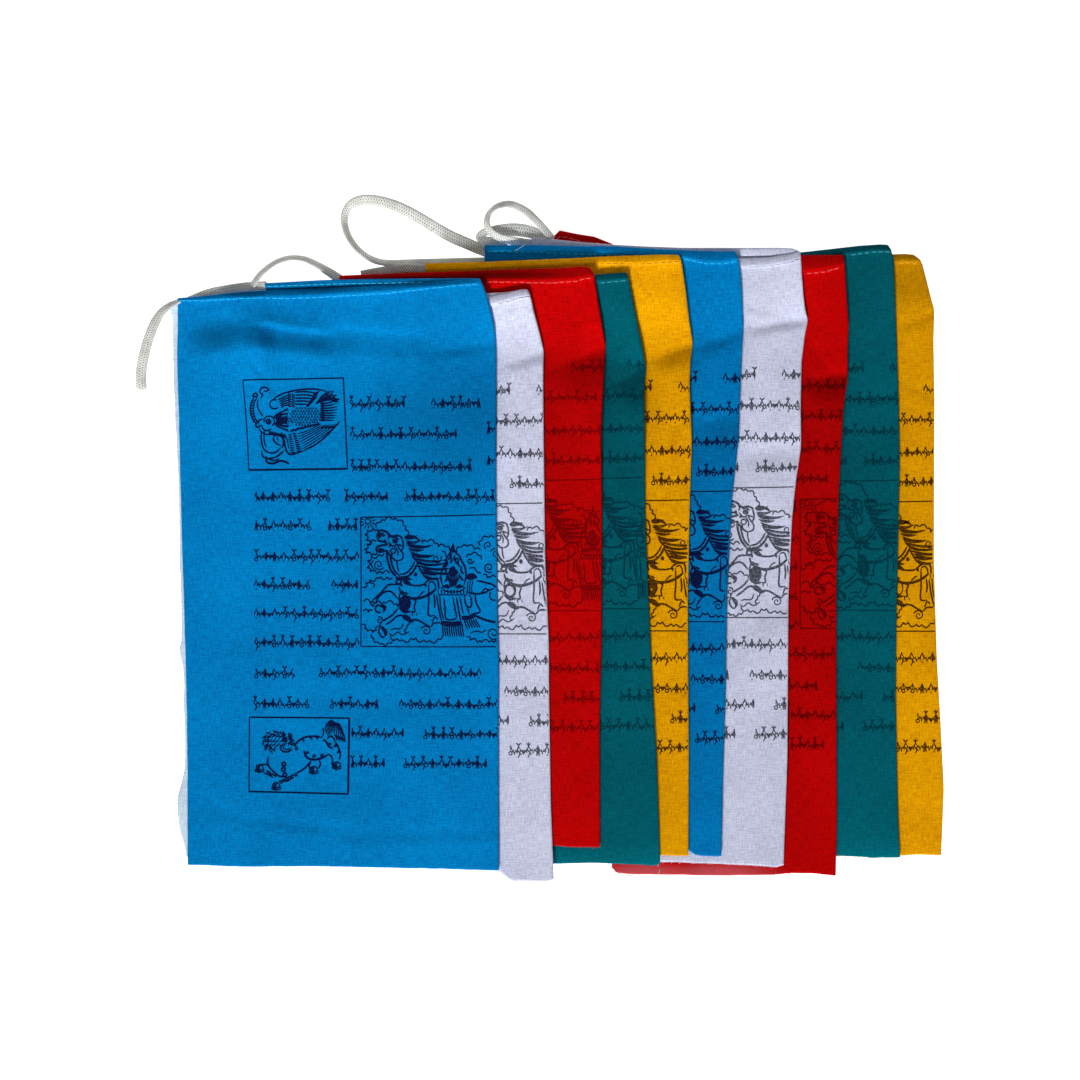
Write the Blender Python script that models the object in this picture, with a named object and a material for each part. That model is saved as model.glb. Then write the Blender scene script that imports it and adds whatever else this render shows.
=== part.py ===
"""A string of ten folded prayer flags on one flat braided cord, laid out as a fan.

Each flag is one sheet of cotton, folded in half about an upright line at its
right, with the hem that carries the cord along its upper edge. The flags lie on
each other like shingles, flag 1 on top at the left and flag 10 at the bottom
right. Plan positions are given in plan units of 0.57 mm (x to the right, y
downwards), and turned into metres by place(). World axes: X to the right, Y
towards the hems, Z up, the resting surface at Z = 0.
"""

from collections import namedtuple

import bmesh
import bpy
from mathutils import Vector

UNIT = 0.57e-3  # metres for one plan unit
CENTRE = (560.5, 555.825)  # plan point that lies on the world's Z axis

CLOTH = 1.0e-3  # thickness of one layer of cloth
HEM = 1.5e-3  # thickness of the hem, with the cord inside it
GAP = 0.35e-3  # air between two layers
PITCH_BODY = CLOTH + GAP
PITCH_HEM = HEM + GAP
LINK_UNDER_CORNER = 3.4e-3  # lift of flag 1's corner over the cord below it

HEM_DEPTH = 14.0  # plan units from the upper edge to the hem's stitching
HEM_STEP = 2.0  # plan units in which the hem thins to single cloth
HEMS_END = 316.0  # below this y every hem has ended
BODY_START = 395.0  # below this y the layers are only as thick as the cloth

CORD_RADIUS = 1.5e-3
CORD_STEP = 7.0e-3  # spacing of the points along a cord

# Plan x of the lines along which all the layers bend together. Each layer rises
# over the open edges of the layers below it, and no line lies inside the stretch
# that a flag's own fold wanders over.
BENDS = (
    120, 148, 172, 200, 228, 246, 262, 282, 314, 334, 355, 386, 420, 450, 465,
    502, 522, 557, 574, 609, 626, 663, 1000,
)  # fmt: skip
RISE_RUN = 34.0  # least plan run in which a layer climbs over an open edge

# fold: (y, x) down the right-hand fold. front_top and back_top: (x, y) along the
# upper edge of each half. left: plan x of each half's open edge at its top and
# bottom. bottom: (x, y) along the lower edge. kink and middle: the y of two more
# rows, where the fold changes direction.
Flag = namedtuple(
    "Flag",
    "name colour front_left back_left front_top back_top fold kink middle bottom",
)

FLAGS = (
    Flag(
        "flag_01_blue", "cloth_blue", (178, 186), (264, 264),
        ((178, 299), (290, 292), (480, 281)),
        ((264, 283), (324, 280), (480, 281)),
        ((281, 480), (298, 486), (344, 496), (482, 496), (869, 498)),
        344, 482, ((178, 865), (498, 869)),
    ),
    Flag(
        "flag_02_white", "cloth_white", (284, 284), (250, 250),
        ((284, 299), (488, 298), (528, 291)),
        ((250, 294), (400, 297), (528, 291)),
        ((291, 528), (308, 533), (351, 543), (637, 549), (878, 553)),
        351, 637, ((284, 861), (465, 863), (502, 869.5), (522, 880), (553, 880)),
    ),
    Flag(
        "flag_03_red", "cloth_red", (339, 339), (320, 320),
        ((339, 275.5), (426, 273), (582, 269), (592, 271)),
        ((320, 283), (480, 279), (592, 271)),
        ((271, 592), (299, 597), (346, 605), (464, 602), (846, 601)),
        346, 464, ((339, 846), (601, 845)),
    ),
    Flag(
        "flag_04_green", "cloth_green", (373, 373), (360, 360),
        ((373, 281), (594, 276), (628, 274)),
        ((360, 280), (594, 279), (628, 274)),
        ((274, 628), (316, 635), (369, 644), (464, 645), (861, 659)),
        369, 464, ((373, 862), (659, 863)),
    ),
    Flag(
        "flag_05_yellow", "cloth_yellow", (425, 425), (390, 390),
        ((425, 263), (470, 262.5), (598, 258), (678, 257)),
        ((390, 271), (560, 264), (678, 257)),
        ((257, 678), (291, 685), (344, 692), (442, 691), (852, 688)),
        344, 442, ((425, 856), (688, 854)),
    ),
    Flag(
        "flag_06_blue", "cloth_blue", (484, 484), (429, 429),
        ((484, 244.7), (614, 247.4), (677, 253), (735, 252)),
        ((429, 271), (600, 262), (735, 252)),
        ((252, 735), (285, 739), (329, 743), (438, 739), (853, 723)),
        329, 438, ((484, 856), (723, 853)),
    ),
    Flag(
        "flag_07_white", "cloth_white", (527, 527), (531, 531),
        ((527, 262), (737, 259), (769, 258), (800, 252)),
        ((531, 236.5), (582, 242), (646, 247), (677, 248.7), (789, 248.7), (800, 252)),
        ((252, 800), (293, 803), (322, 807), (520, 794), (864, 784)),
        322, 520, ((527, 862), (784, 865)),
    ),
    Flag(
        "flag_08_red", "cloth_red", (613, 613), (553, 553),
        ((613, 263), (801, 257), (843, 255)),
        ((553, 236), (559, 229.5), (598, 236.7), (614, 250), (843, 255)),
        ((255, 843), (297, 846), (345, 849), (487, 839), (874, 836)),
        345, 487, ((613, 874), (836, 875)),
    ),
    Flag(
        "flag_09_green", "cloth_green", (637, 637), (592, 592),
        ((637, 266), (800, 252), (859, 245.5), (889, 244.7)),
        ((592, 268), (800, 256), (889, 244.7)),
        ((244.7, 889), (256, 895), (300, 897), (470, 899), (857, 901)),
        330, 470, ((637, 857), (901, 856)),
    ),
    Flag(
        "flag_10_yellow", "cloth_yellow", (671, 671), (641, 641),
        ((671, 268), (894, 254), (912, 254)),
        ((641, 270), (894, 258), (912, 254)),
        ((254, 912), (262, 920), (322, 934), (660, 937), (798, 943), (853, 941)),
        322, 798, ((671, 855), (941, 854)),
    ),
)  # fmt: skip

# A back half whose free corner hangs shorter than the front half's: (x, y).
SHORT_BACKS = {"flag_08_red": ((553, 858), (626, 859), (663, 873), (836, 875))}

# Each stretch of the cord that shows: (x, y, z in mm) along its middle.
CORDS = (
    ("cord_free_end", (
        (175.5, 301.5, 3.0), (168, 305, 2.2), (160, 312, 1.6), (154, 321, 1.5),
        (149, 332, 1.5), (145, 344, 1.5), (141.5, 357, 1.5), (139.5, 370, 1.5),
        (139, 381, 1.5), (140, 390, 1.5),
    )),
    ("cord_link_01_02", (
        (260.5, 288, 4.2), (250, 288.5, 3.0), (238, 289.5, 2.0), (225, 291.5, 1.6),
        (212, 294.5, 1.5), (201, 298, 1.5), (192, 303, 1.5),
    )),
    ("cord_loop_02_03", (
        (252.5, 282.2, 1.5), (255, 277.5, 1.5), (260, 271.5, 1.5), (268, 264.5, 1.5),
        (278, 259, 1.5), (290, 256, 1.5), (304, 257.5, 1.5), (316, 263, 1.8),
        (326, 269.5, 2.6), (335, 276, 3.4),
    )),
    ("cord_link_04_05", (
        (362, 273.5, 1.6), (370, 272, 2.2), (380, 270.5, 3.2), (392, 269, 4.2),
        (406, 267.8, 4.6), (421.5, 268, 4.6),
    )),
    ("cord_loop_05_06", (
        (478, 260.5, 1.6), (455, 261, 1.6), (430, 261.5, 1.6), (408, 262, 1.6),
        (392, 262.5, 1.5), (378, 261, 1.5), (366, 256, 1.5), (355, 247, 1.5),
        (347, 235, 1.5), (343, 220, 1.5), (346, 209, 1.5), (354, 201.5, 1.5),
        (366, 199, 1.5), (383, 201.5, 1.5), (400, 207.5, 1.5), (418, 217, 1.5),
        (436, 228, 1.5), (452, 236.5, 1.7), (467, 243, 2.3), (480.5, 249, 2.7),
    )),
    ("cord_loop_06_07", (
        (549, 231.5, 4.9), (542, 226.5, 4.9), (533, 218, 4.0), (522, 209, 2.4),
        (510, 203.5, 1.5), (498, 206, 1.5), (489, 213, 3.0), (486, 222, 4.9),
        (490, 231, 5.0), (499, 237, 5.2), (511, 240.2, 4.6), (520, 241.5, 3.4),
        (527.5, 242.5, 2.7),
    )),
    ("cord_loop_07_08", (
        (480.5, 240.5, 1.5), (481.5, 234.5, 1.5), (488, 228.5, 1.5),
        (499, 224.5, 1.5), (511, 222.5, 1.5), (522, 222.5, 1.5), (531, 226, 1.5),
        (539, 230, 1.5), (549.5, 233.5, 1.5),
    )),
)  # fmt: skip

COLOURS = {
    "cloth_blue": (0.0, 0.25, 0.56, 1.0),
    "cloth_white": (0.74, 0.74, 0.86, 1.0),
    "cloth_red": (0.62, 0.004, 0.004, 1.0),
    "cloth_green": (0.0, 0.16, 0.15, 1.0),
    "cloth_yellow": (0.93, 0.42, 0.0, 1.0),
    "cord_white": (0.62, 0.62, 0.58, 1.0),
}


def place(x, y, z):
    """Plan units and a height in metres to world metres."""
    return ((x - CENTRE[0]) * UNIT, (CENTRE[1] - y) * UNIT, z)


def along(points, at, key=0):
    """Straight-line interpolation in a short table of pairs."""
    value = 1 - key
    if at <= points[0][key]:
        return points[0][value]
    for low, high in zip(points, points[1:]):
        if at <= high[key]:
            share = (at - low[key]) / (high[key] - low[key])
            return low[value] + share * (high[value] - low[value])
    return points[-1][value]


def presence(left, x):
    """1 over a layer and 2 mm before its open edge, rising from 0 before that."""
    inner = max(b for b in BENDS if b <= left - 3)
    outer = max(b for b in BENDS if b <= inner - RISE_RUN)
    return along(((outer, 0.0), (inner, 1.0)), x)


def layer_list():
    """(flag, half) from the bottom of the heap to its top."""
    found = []
    for flag in reversed(FLAGS):
        found.append((flag, "back"))
        found.append((flag, "front"))
    return found


LAYERS = layer_list()


def height(flag, half, x, y):
    """Underside of a layer: the sum of what lies below it at this x."""
    hem = body = 0.0
    for other, side in LAYERS:
        if (other, side) == (flag, half):
            break
        lefts = other.front_left if side == "front" else other.back_left
        here = presence(min(lefts), x)
        hem += PITCH_HEM * here
        body += PITCH_BODY * here
    if (flag.name, half) == ("flag_01_blue", "front"):
        hem += LINK_UNDER_CORNER * along(((228, 1.0), (262, 0.0)), x)
    share = min(max((y - HEMS_END) / (BODY_START - HEMS_END), 0.0), 1.0)
    return hem + share * (body - hem)


def height_at(flag, half, x, y):
    """The same between two bend lines, where every layer is flat."""
    low = max(b for b in BENDS if b <= x)
    high = min(b for b in BENDS if b > x)
    share = (x - low) / (high - low)
    return height(flag, half, low, y) * (1 - share) + height(flag, half, high, y) * share


def rows(flag, half, x):
    """(y, thickness) of each row of the sheet at plan x."""
    feet = flag.bottom
    if half == "back":
        feet = SHORT_BACKS.get(flag.name, feet)
    top = along(flag.front_top if half == "front" else flag.back_top, x)
    foot = along(feet, x)
    return (
        (top, HEM),
        (top + HEM_DEPTH, HEM),
        (top + HEM_DEPTH + HEM_STEP, CLOTH),
        (HEMS_END, CLOTH),
        (flag.kink, CLOTH),
        (BODY_START, CLOTH),
        (flag.middle, CLOTH),
        (foot, CLOTH),
    )


ROW_COUNT = 8


def sheet_points(flag, row):
    """(inner, outer) plan points of one row, from the front half's open edge,
    round the fold, to the back half's open edge."""
    y_fold, thick = rows(flag, "front", flag.fold[0][1])[row]
    x_fold = along(flag.fold, y_fold)
    bend = max(b for b in BENDS if b < min(x for _, x in flag.fold))
    reach = 1.2e-3 / UNIT if row > 2 else 1.7e-3 / UNIT
    inner, outer = [], []

    def half_points(half):
        lefts = flag.front_left if half == "front" else flag.back_left
        left = lefts[0] + (lefts[1] - lefts[0]) * row / (ROW_COUNT - 1)
        xs = [left] + [b for b in BENDS if max(lefts) < b <= bend] + [x_fold - reach]
        chain = []
        for x in xs:
            y, t = rows(flag, half, x)[row]
            z = height_at(flag, half, x, y)
            chain.append((x, y, z, z + t))
        return chain

    front, back = half_points("front"), half_points("back")
    for x, y, low, high in front:
        inner.append((x, y, low))
        outer.append((x, y, high))
    z_mid = (back[-1][2] + front[-1][3]) / 2
    z_out = (front[-1][3] - back[-1][2]) / 2
    z_in = (front[-1][2] - back[-1][3]) / 2
    deep = thick / UNIT
    for side in (0.7071, 0.0, -0.7071):
        out = reach * (1 - side * side) ** 0.5
        inner.append((x_fold - reach + max(out - deep, 0.12 * out), y_fold, z_mid + side * z_in))
        outer.append((x_fold - reach + out, y_fold, z_mid + side * z_out))
    for x, y, low, high in reversed(back):
        inner.append((x, y, high))
        outer.append((x, y, low))
    return inner, outer


def material(name):
    made = bpy.data.materials.get(name)
    if made is None:
        made = bpy.data.materials.new(name)
        made.use_nodes = True
        shader = made.node_tree.nodes["Principled BSDF"]
        shader.inputs["Base Color"].default_value = COLOURS[name]
        shader.inputs["Roughness"].default_value = 0.85
        shader.inputs["Metallic"].default_value = 0.0
        made.diffuse_color = COLOURS[name]
    return made


def folded_flag(flag, home):
    """A flat grid, extruded to a second skin, then laid in its folds."""
    table = [sheet_points(flag, row) for row in range(ROW_COUNT)]
    across = len(table[0][0])
    sheet = bmesh.new()
    bmesh.ops.create_grid(
        sheet, x_segments=across - 1, y_segments=ROW_COUNT - 1, size=1.0
    )

    def cell(vertex):
        column = round((vertex.co.x + 1) / 2 * (across - 1))
        row = round((1 - vertex.co.y) / 2 * (ROW_COUNT - 1))
        return column, row

    made = bmesh.ops.extrude_face_region(sheet, geom=sheet.faces[:])
    second = {v for v in made["geom"] if isinstance(v, bmesh.types.BMVert)}
    for vertex in sheet.verts:
        column, row = cell(vertex)
        inner, outer = table[row]
        vertex.co = place(*(outer if vertex in second else inner)[column])
    bmesh.ops.triangulate(sheet, faces=sheet.faces[:], quad_method="FIXED")
    bmesh.ops.recalc_face_normals(sheet, faces=sheet.faces[:])
    mesh = bpy.data.meshes.new(flag.name)
    sheet.to_mesh(mesh)
    sheet.free()
    mesh.materials.append(material(flag.colour))
    thing = bpy.data.objects.new(flag.name, mesh)
    home.objects.link(thing)
    return thing


def smooth_route(points, step):
    """Points every step metres on a smooth curve through the route's own."""
    knots = [Vector(place(x, y, z * 1e-3)) for x, y, z in points]
    knots = [2 * knots[0] - knots[1]] + knots + [2 * knots[-1] - knots[-2]]
    fine = [knots[1]]
    for p0, p1, p2, p3 in zip(knots, knots[1:], knots[2:], knots[3:]):
        for k in range(1, 21):
            t = k / 20
            fine.append(
                0.5
                * (
                    2 * p1
                    + (p2 - p0) * t
                    + (2 * p0 - 5 * p1 + 4 * p2 - p3) * t**2
                    + (3 * p1 - p0 - 3 * p2 + p3) * t**3
                )
            )
    runs = [0.0]
    for low, high in zip(fine, fine[1:]):
        runs.append(runs[-1] + (high - low).length)
    count = max(round(runs[-1] / step), 2)
    found = []
    for k in range(count + 1):
        want = runs[-1] * k / count
        i = min(sum(run < want for run in runs), len(runs) - 1) or 1
        share = (want - runs[i - 1]) / (runs[i] - runs[i - 1])
        found.append(fine[i - 1].lerp(fine[i], share))
    return found


def cord(name, points, home):
    """A tube along one visible stretch of the cord."""
    curve = bpy.data.curves.new(name, "CURVE")
    curve.dimensions = "3D"
    curve.bevel_depth = CORD_RADIUS
    curve.bevel_resolution = 2
    curve.use_fill_caps = True
    line = curve.splines.new("POLY")
    route = smooth_route(points, CORD_STEP)
    line.points.add(len(route) - 1)
    for point, at in zip(line.points, route):
        at.z = max(at.z, CORD_RADIUS)
        point.co = (*at, 1.0)
    curve.materials.append(material("cord_white"))
    thing = bpy.data.objects.new(name, curve)
    home.objects.link(thing)
    return thing


def main():
    for thing in list(bpy.data.objects):
        bpy.data.objects.remove(thing, do_unlink=True)
    home = bpy.data.collections.new("prayer_flags")
    bpy.context.scene.collection.children.link(home)
    for flag in FLAGS:
        folded_flag(flag, home)
    for name, points in CORDS:
        cord(name, points, home)


main()
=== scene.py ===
"""Looks of the folded string of prayer flags.

Ten sheets of thin cotton, each folded in half about an upright line at its
right and laid over the next like shingles, with the hems that carry a flat
braided cord along their upper edges. Plan positions are in plan units of
0.57 mm, x to the right and y downwards; place() turns them into metres.
"""

import math

import bpy
import numpy as np
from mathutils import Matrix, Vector
from mathutils.bvhtree import BVHTree


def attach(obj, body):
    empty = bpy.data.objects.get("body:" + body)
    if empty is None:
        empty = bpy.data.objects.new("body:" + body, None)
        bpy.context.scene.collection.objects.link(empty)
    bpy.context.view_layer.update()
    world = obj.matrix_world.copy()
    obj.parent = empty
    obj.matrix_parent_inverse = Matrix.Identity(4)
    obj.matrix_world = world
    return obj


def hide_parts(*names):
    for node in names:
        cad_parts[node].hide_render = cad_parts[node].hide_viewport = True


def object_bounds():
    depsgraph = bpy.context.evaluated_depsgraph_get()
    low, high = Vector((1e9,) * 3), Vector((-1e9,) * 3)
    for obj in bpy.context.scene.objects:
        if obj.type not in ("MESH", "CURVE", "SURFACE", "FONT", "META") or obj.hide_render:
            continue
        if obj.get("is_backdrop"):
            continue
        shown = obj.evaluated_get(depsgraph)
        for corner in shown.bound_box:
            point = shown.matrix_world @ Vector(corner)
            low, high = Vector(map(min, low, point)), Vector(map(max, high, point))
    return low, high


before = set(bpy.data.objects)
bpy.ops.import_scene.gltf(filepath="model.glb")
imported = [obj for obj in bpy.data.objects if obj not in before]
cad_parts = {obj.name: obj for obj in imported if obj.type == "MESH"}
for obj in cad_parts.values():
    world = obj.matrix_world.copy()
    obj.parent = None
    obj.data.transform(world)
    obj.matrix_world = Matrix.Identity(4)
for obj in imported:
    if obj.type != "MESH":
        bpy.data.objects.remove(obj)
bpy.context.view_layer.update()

# ---------------------------------------------------------------- the frame's
UNIT = 0.57e-3
CENTRE = (560.5, 555.825)
CLOTH, HEM, GAP = 1.0e-3, 1.5e-3, 0.35e-3
PITCH_BODY, PITCH_HEM = CLOTH + GAP, HEM + GAP
CORNER_LIFT = 3.4e-3
HEMS_END, BODY_START = 316.0, 395.0
SHEET = 0.32e-3  # thickness of the thin cotton itself
BENDS = (
    120, 148, 172, 200, 228, 246, 262, 282, 314, 334, 355, 386, 420, 450, 465,
    502, 522, 557, 574, 609, 626, 663, 1000,
)  # fmt: skip

# name, colour, left edges (front, back), top edge and hem height of each half
# as (x, value), right-hand fold as (y, x), foot as (x, y).
FLAGS = (
    dict(
        name="flag_01_blue", colour="blue", left=(176.8, 264), slant=9,
        top=((177, 297.8), (200, 296), (230, 292.9), (264, 290.3), (304, 289.4), (350, 287.8), (396, 285.8), (470, 281.5), (482, 280.5)),
        hem=((178, 2.5), (215, 5), (290, 8.5), (380, 8), (440, 5.5), (482, 4.5)),
        back_top=((264, 283), (324, 280.3), (400, 280), (470, 280), (482, 280.5)),
        back_hem=((264, 5), (324, 6.5), (430, 6), (482, 4.5)),
        fold=((278, 478.8), (284, 481.6), (296, 486.2), (314, 490.8), (330, 494.3), (344, 495.3), (400, 495.8),
              (482, 495.3), (600, 496.8), (660, 498.3), (740, 497.8), (869, 498.3)),
        foot=((176, 866), (240, 867.4), (330, 866.4), (420, 867.5), (500, 869)),
    ),
    dict(
        name="flag_02_white", colour="white", left=(284, 250), slant=0,
        top=((284, 300), (488, 298), (505, 295), (520, 291.5), (528, 291)),
        hem=((284, 11), (488, 10), (528, 8)),
        back_top=((250, 296), (400, 297), (505, 294), (528, 291)),
        back_hem=((250, 10), (528, 8)),
        fold=((289, 527), (298, 530), (314, 533.5), (330, 538), (351, 543), (380, 542.5), (440, 543),
              (560, 544.5), (637, 548), (700, 548.5), (800, 550), (878, 553)),
        foot=((284, 861), (480, 863.5), (495, 866.5), (502, 872), (507, 876.5), (512, 879.5), (546, 880), (552, 878)),
    ),
    dict(
        name="flag_03_red", colour="red", left=(339, 320), slant=0,
        top=((339, 275.5), (426, 273), (560, 270), (582, 268.6), (592, 271)),
        hem=((339, 5), (426, 6), (484, 11), (545, 14), (577, 14), (592, 9)),
        back_top=((320, 283), (480, 280), (592, 271)),
        back_hem=((320, 9), (592, 9)),
        fold=((268, 590), (278, 593.3), (299, 596.3), (320, 600), (346, 604.5), (368, 603.5), (400, 601.5),
              (440, 600), (500, 601), (640, 600.5), (720, 598.5), (846, 599)),
        foot=((339, 844), (480, 844), (553, 844.4), (575, 845.8), (600, 845.6)),
    ),
    dict(
        name="flag_04_green", colour="green", left=(373, 360), slant=0,
        top=((373, 281), (596, 276.5), (618, 275), (628, 275)),
        hem=((373, 9), (596, 8), (618, 8), (628, 7)),
        back_top=((360, 280), (594, 280), (628, 275)),
        back_hem=((360, 9), (628, 7)),
        fold=((272, 626.0), (290, 629.2), (316, 634.4), (345, 640.4), (369, 644.9), (390, 642.9), (420, 643.4),
              (520, 643.9), (600, 647.4), (680, 650.9), (760, 655.4), (861, 658.9)),
        foot=((373, 862), (553, 863), (600, 861.8), (625, 862.8), (652, 863.8), (659, 862.6)),
    ),
    dict(
        name="flag_05_yellow", colour="yellow", left=(425, 390), slant=0,
        top=((425, 263), (470, 262.5), (534, 260.6), (598, 258.2), (660, 256.8), (678, 257)),
        hem=((425, 8), (470, 7.5), (534, 7), (598, 7), (640, 9), (678, 7)),
        back_top=((390, 271), (560, 265), (678, 257)),
        back_hem=((390, 9), (678, 7)),
        fold=((254, 677), (264, 680), (291, 684.0), (320, 687.6), (344, 691.6), (362, 689.1), (385, 688.1),
              (442, 690.6), (500, 688.6), (600, 686.6), (760, 687.6), (852, 687.1)),
        foot=((425, 855), (600, 854.6), (655, 854), (680, 854.6), (688, 854.4)),
    ),
    dict(
        name="flag_06_blue", colour="blue", left=(484, 429), slant=0,
        top=((484, 245), (545, 245.6), (614, 247.6), (661, 251), (700, 252.6), (726, 253), (735, 252.4)),
        hem=((484, 6), (560, 7.5), (630, 8.5), (682, 8), (705, 12), (720, 12), (735, 10)),
        back_top=((429, 271), (600, 262), (735, 252.4)),
        back_hem=((429, 9), (735, 9)),
        fold=((250, 734), (266, 738), (290, 740.4), (312, 741.2), (329, 742.2), (350, 740.7), (385, 739.2), (440, 737.2),
              (500, 730.7), (600, 725.7), (700, 724.2), (780, 721.7), (853, 720.2)),
        foot=((484, 846), (680, 846), (688, 848.5), (693, 853.4), (700, 854.8), (716, 855.8), (723, 854.6)),
    ),
    dict(
        name="flag_07_white", colour="white", left=(527, 531), slant=0,
        top=((527, 262), (737, 259), (769, 258), (789, 255), (800, 252.5)),
        hem=((527, 10), (737, 10), (800, 8)),
        back_top=((531, 236.8), (550, 238.5), (582, 242.3), (614, 245.3), (646, 247.2), (677, 248.6), (789, 248.6), (800, 252.5)),
        back_hem=((531, 10), (582, 10), (646, 9), (800, 8)),
        fold=((250, 799), (275, 800.4), (296, 802.2), (310, 804), (320, 807), (334, 804), (362, 800.5), (408, 799.5),
              (447, 800), (480, 795), (520, 791), (600, 787.5), (760, 786.5), (864, 782.5)),
        foot=((527, 861), (612, 861), (660, 861.2), (700, 862.6), (740, 864.4), (776, 866.4), (784, 864.4)),
    ),
    dict(
        name="flag_08_red", colour="red", left=(612.4, 553), slant=-1,
        top=((613, 263), (801, 257), (830, 256), (843, 255.4)),
        hem=((613, 14), (801, 17), (824, 16), (843, 11)),
        back_top=((553, 236), (559, 229.8), (566, 230.5), (582, 235), (598, 236.8), (614, 245), (630, 256), (843, 255.4)),
        back_hem=((553, 10), (600, 10), (843, 11)),
        fold=((254, 843), (275, 844.4), (300, 845.9), (325, 847.7), (350, 846.7), (378, 847.2), (408, 842.2), (447, 840.2),
              (487, 838.2), (583, 835.7), (680, 835.7), (820, 836.2), (876, 835.2)),
        foot=((612, 868), (614, 871.4), (617, 873.6), (630, 874.6), (660, 874.6), (715, 875.6), (768, 875.2), (790, 873),
              (806, 872.6), (820, 874.2), (834, 875.8), (837, 874.8)),
        back_foot=((553, 858), (626, 859), (663, 872), (700, 873), (768, 873), (837, 874.4)),
    ),
    dict(
        name="flag_09_green", colour="green", left=(637, 592), slant=0,
        top=((637, 266), (800, 252.5), (859, 245.8), (880, 244.4), (889, 244.8)),
        hem=((637, 10), (800, 9), (844, 8.5), (867, 7), (889, 7)),
        back_top=((592, 268), (800, 257), (889, 244.8)),
        back_hem=((592, 10), (889, 8)),
        fold=((244, 888), (250, 891), (258, 893), (300, 894.8), (340, 896.5), (400, 898.5), (460, 899.5),
              (640, 896), (700, 895.5), (780, 897), (820, 898), (857, 900)),
        foot=((637, 856), (840, 856), (870, 858.4), (900, 858.2)),
    ),
    dict(
        name="flag_10_yellow", colour="yellow", left=(671, 641), slant=0,
        top=((671, 268), (894, 253.8), (905, 253.4), (912, 254)),
        hem=((671, 10), (894, 9), (912, 8)),
        back_top=((641, 270), (894, 257), (912, 254)),
        back_hem=((641, 10), (912, 8)),
        fold=((252, 911), (255.4, 917), (261, 922), (280, 927), (300, 932.0), (309, 934.8), (340, 933.8), (400, 934.8),
              (560, 934.3), (660, 937.3), (720, 940.8), (790, 944.3), (853, 941.8)),
        foot=((671, 857), (900, 857), (918, 855.6), (943, 856)),
    ),
)  # fmt: skip

# The same fan in the frame's own table, for the heights: left edges of both halves.
OPEN_EDGES = (
    (178, 264), (284, 250), (339, 320), (373, 360), (425, 390), (484, 429),
    (527, 531), (613, 553), (637, 592), (671, 641),
)  # fmt: skip

# Creases: flag number, ends (x0, y0)-(x1, y1), how fast the cloth rises above
# and below the line in plan units (0 for no rise on that side), height in mm,
# and how slowly it sinks again below. The line is the bottom of the crease.
CREASES = (
    (1, 174, 324, 250, 317, 0, 34, 5.4, 30),
    (1, 250, 325, 316, 333, 4, 24, 3.6, 28),
    (1, 318, 326, 410, 336, 8, 24, 1.7, 28),
    (1, 256, 304, 249, 338, 6, 8, 0.7, 12),
    (1, 277, 304, 266, 342, 7, 9, 0.9, 14),
    (1, 329, 303, 318, 348, 7, 9, 0.7, 14),
    (1, 246, 352, 272, 386, 12, 7, 0.8, 16),
    (1, 398, 300, 404, 352, 12, 12, 0.5, 20),
    (1, 424, 352, 495, 341, 26, 12, 1.2, 40),
    (1, 190, 306, 226, 300, 8, 6, 0.6, 10),
    (1, 186, 402, 214, 560, 20, 20, 0.5, 40),
    (1, 290, 486, 486, 500, 26, 22, 0.6, 50),
    (1, 210, 690, 470, 702, 30, 26, 0.6, 50),
    (1, 196, 812, 330, 829, 9, 9, 0.9, 16),
    (1, 300, 838, 486, 830, 12, 9, 0.8, 16),
    (1, 190, 842, 240, 828, 7, 8, 0.7, 12),
    (1, 468, 560, 492, 680, 14, 12, 0.45, 30),
    (2, 500, 368, 541, 353, 16, 12, 1.6, 40),
    (2, 500, 330, 538, 322, 12, 0, 0.4, 0),
    (2, 504, 430, 540, 470, 12, 10, 0.5, 20),
    (2, 506, 640, 546, 600, 18, 16, 0.5, 30),
    (3, 548, 369, 604, 350, 18, 40, 4.2, 90),
    (3, 577, 320, 597, 319, 4, 4, 0.7, 8),
    (3, 553, 426, 600, 444, 14, 12, 0.6, 30),
    (3, 556, 560, 600, 640, 18, 16, 0.5, 30),
    (4, 606, 386, 643, 370, 18, 40, 4.4, 90),
    (4, 606, 352, 636, 330, 12, 9, 0.45, 20),
    (4, 606, 520, 642, 560, 16, 14, 0.5, 30),
    (5, 646, 362, 691, 342, 22, 20, 2.8, 70),
    (5, 650, 330, 686, 322, 12, 0, 0.5, 0),
    (5, 636, 272, 650, 300, 4, 5, 0.6, 8),
    (5, 648, 440, 688, 420, 14, 12, 0.6, 30),
    (6, 696, 348, 743, 329, 18, 14, 1.4, 50),
    (6, 694, 425, 736, 412, 16, 30, 1.8, 60),
    (6, 696, 620, 726, 660, 18, 16, 0.5, 30),
    (7, 742, 326, 806, 321, 14, 11, 1.9, 40),
    (7, 742, 300, 770, 312, 10, 8, 0.5, 16),
    (7, 736, 457, 799, 451, 22, 14, 2.6, 44),
    (7, 736, 470, 792, 500, 12, 10, 0.5, 20),
    (7, 734, 640, 786, 600, 20, 18, 0.5, 30),
    (8, 802, 382, 848, 374, 16, 34, 3.8, 80),
    (8, 804, 352, 846, 346, 12, 0, 0.4, 0),
    (8, 802, 414, 842, 408, 10, 8, 0.8, 20),
    (8, 798, 560, 836, 600, 18, 16, 0.5, 30),
    (9, 848, 398, 896, 394, 16, 12, 0.9, 36),
    (9, 846, 560, 896, 520, 20, 18, 0.5, 30),
    (9, 846, 700, 896, 730, 20, 18, 0.5, 30),
    (10, 898, 328, 933, 312, 16, 10, 1.1, 40),
    (10, 898, 380, 932, 392, 16, 12, 0.5, 30),
    (10, 900, 560, 934, 600, 20, 18, 0.5, 30),
    (10, 902, 740, 942, 700, 16, 14, 0.6, 30),
)  # fmt: skip

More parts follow.
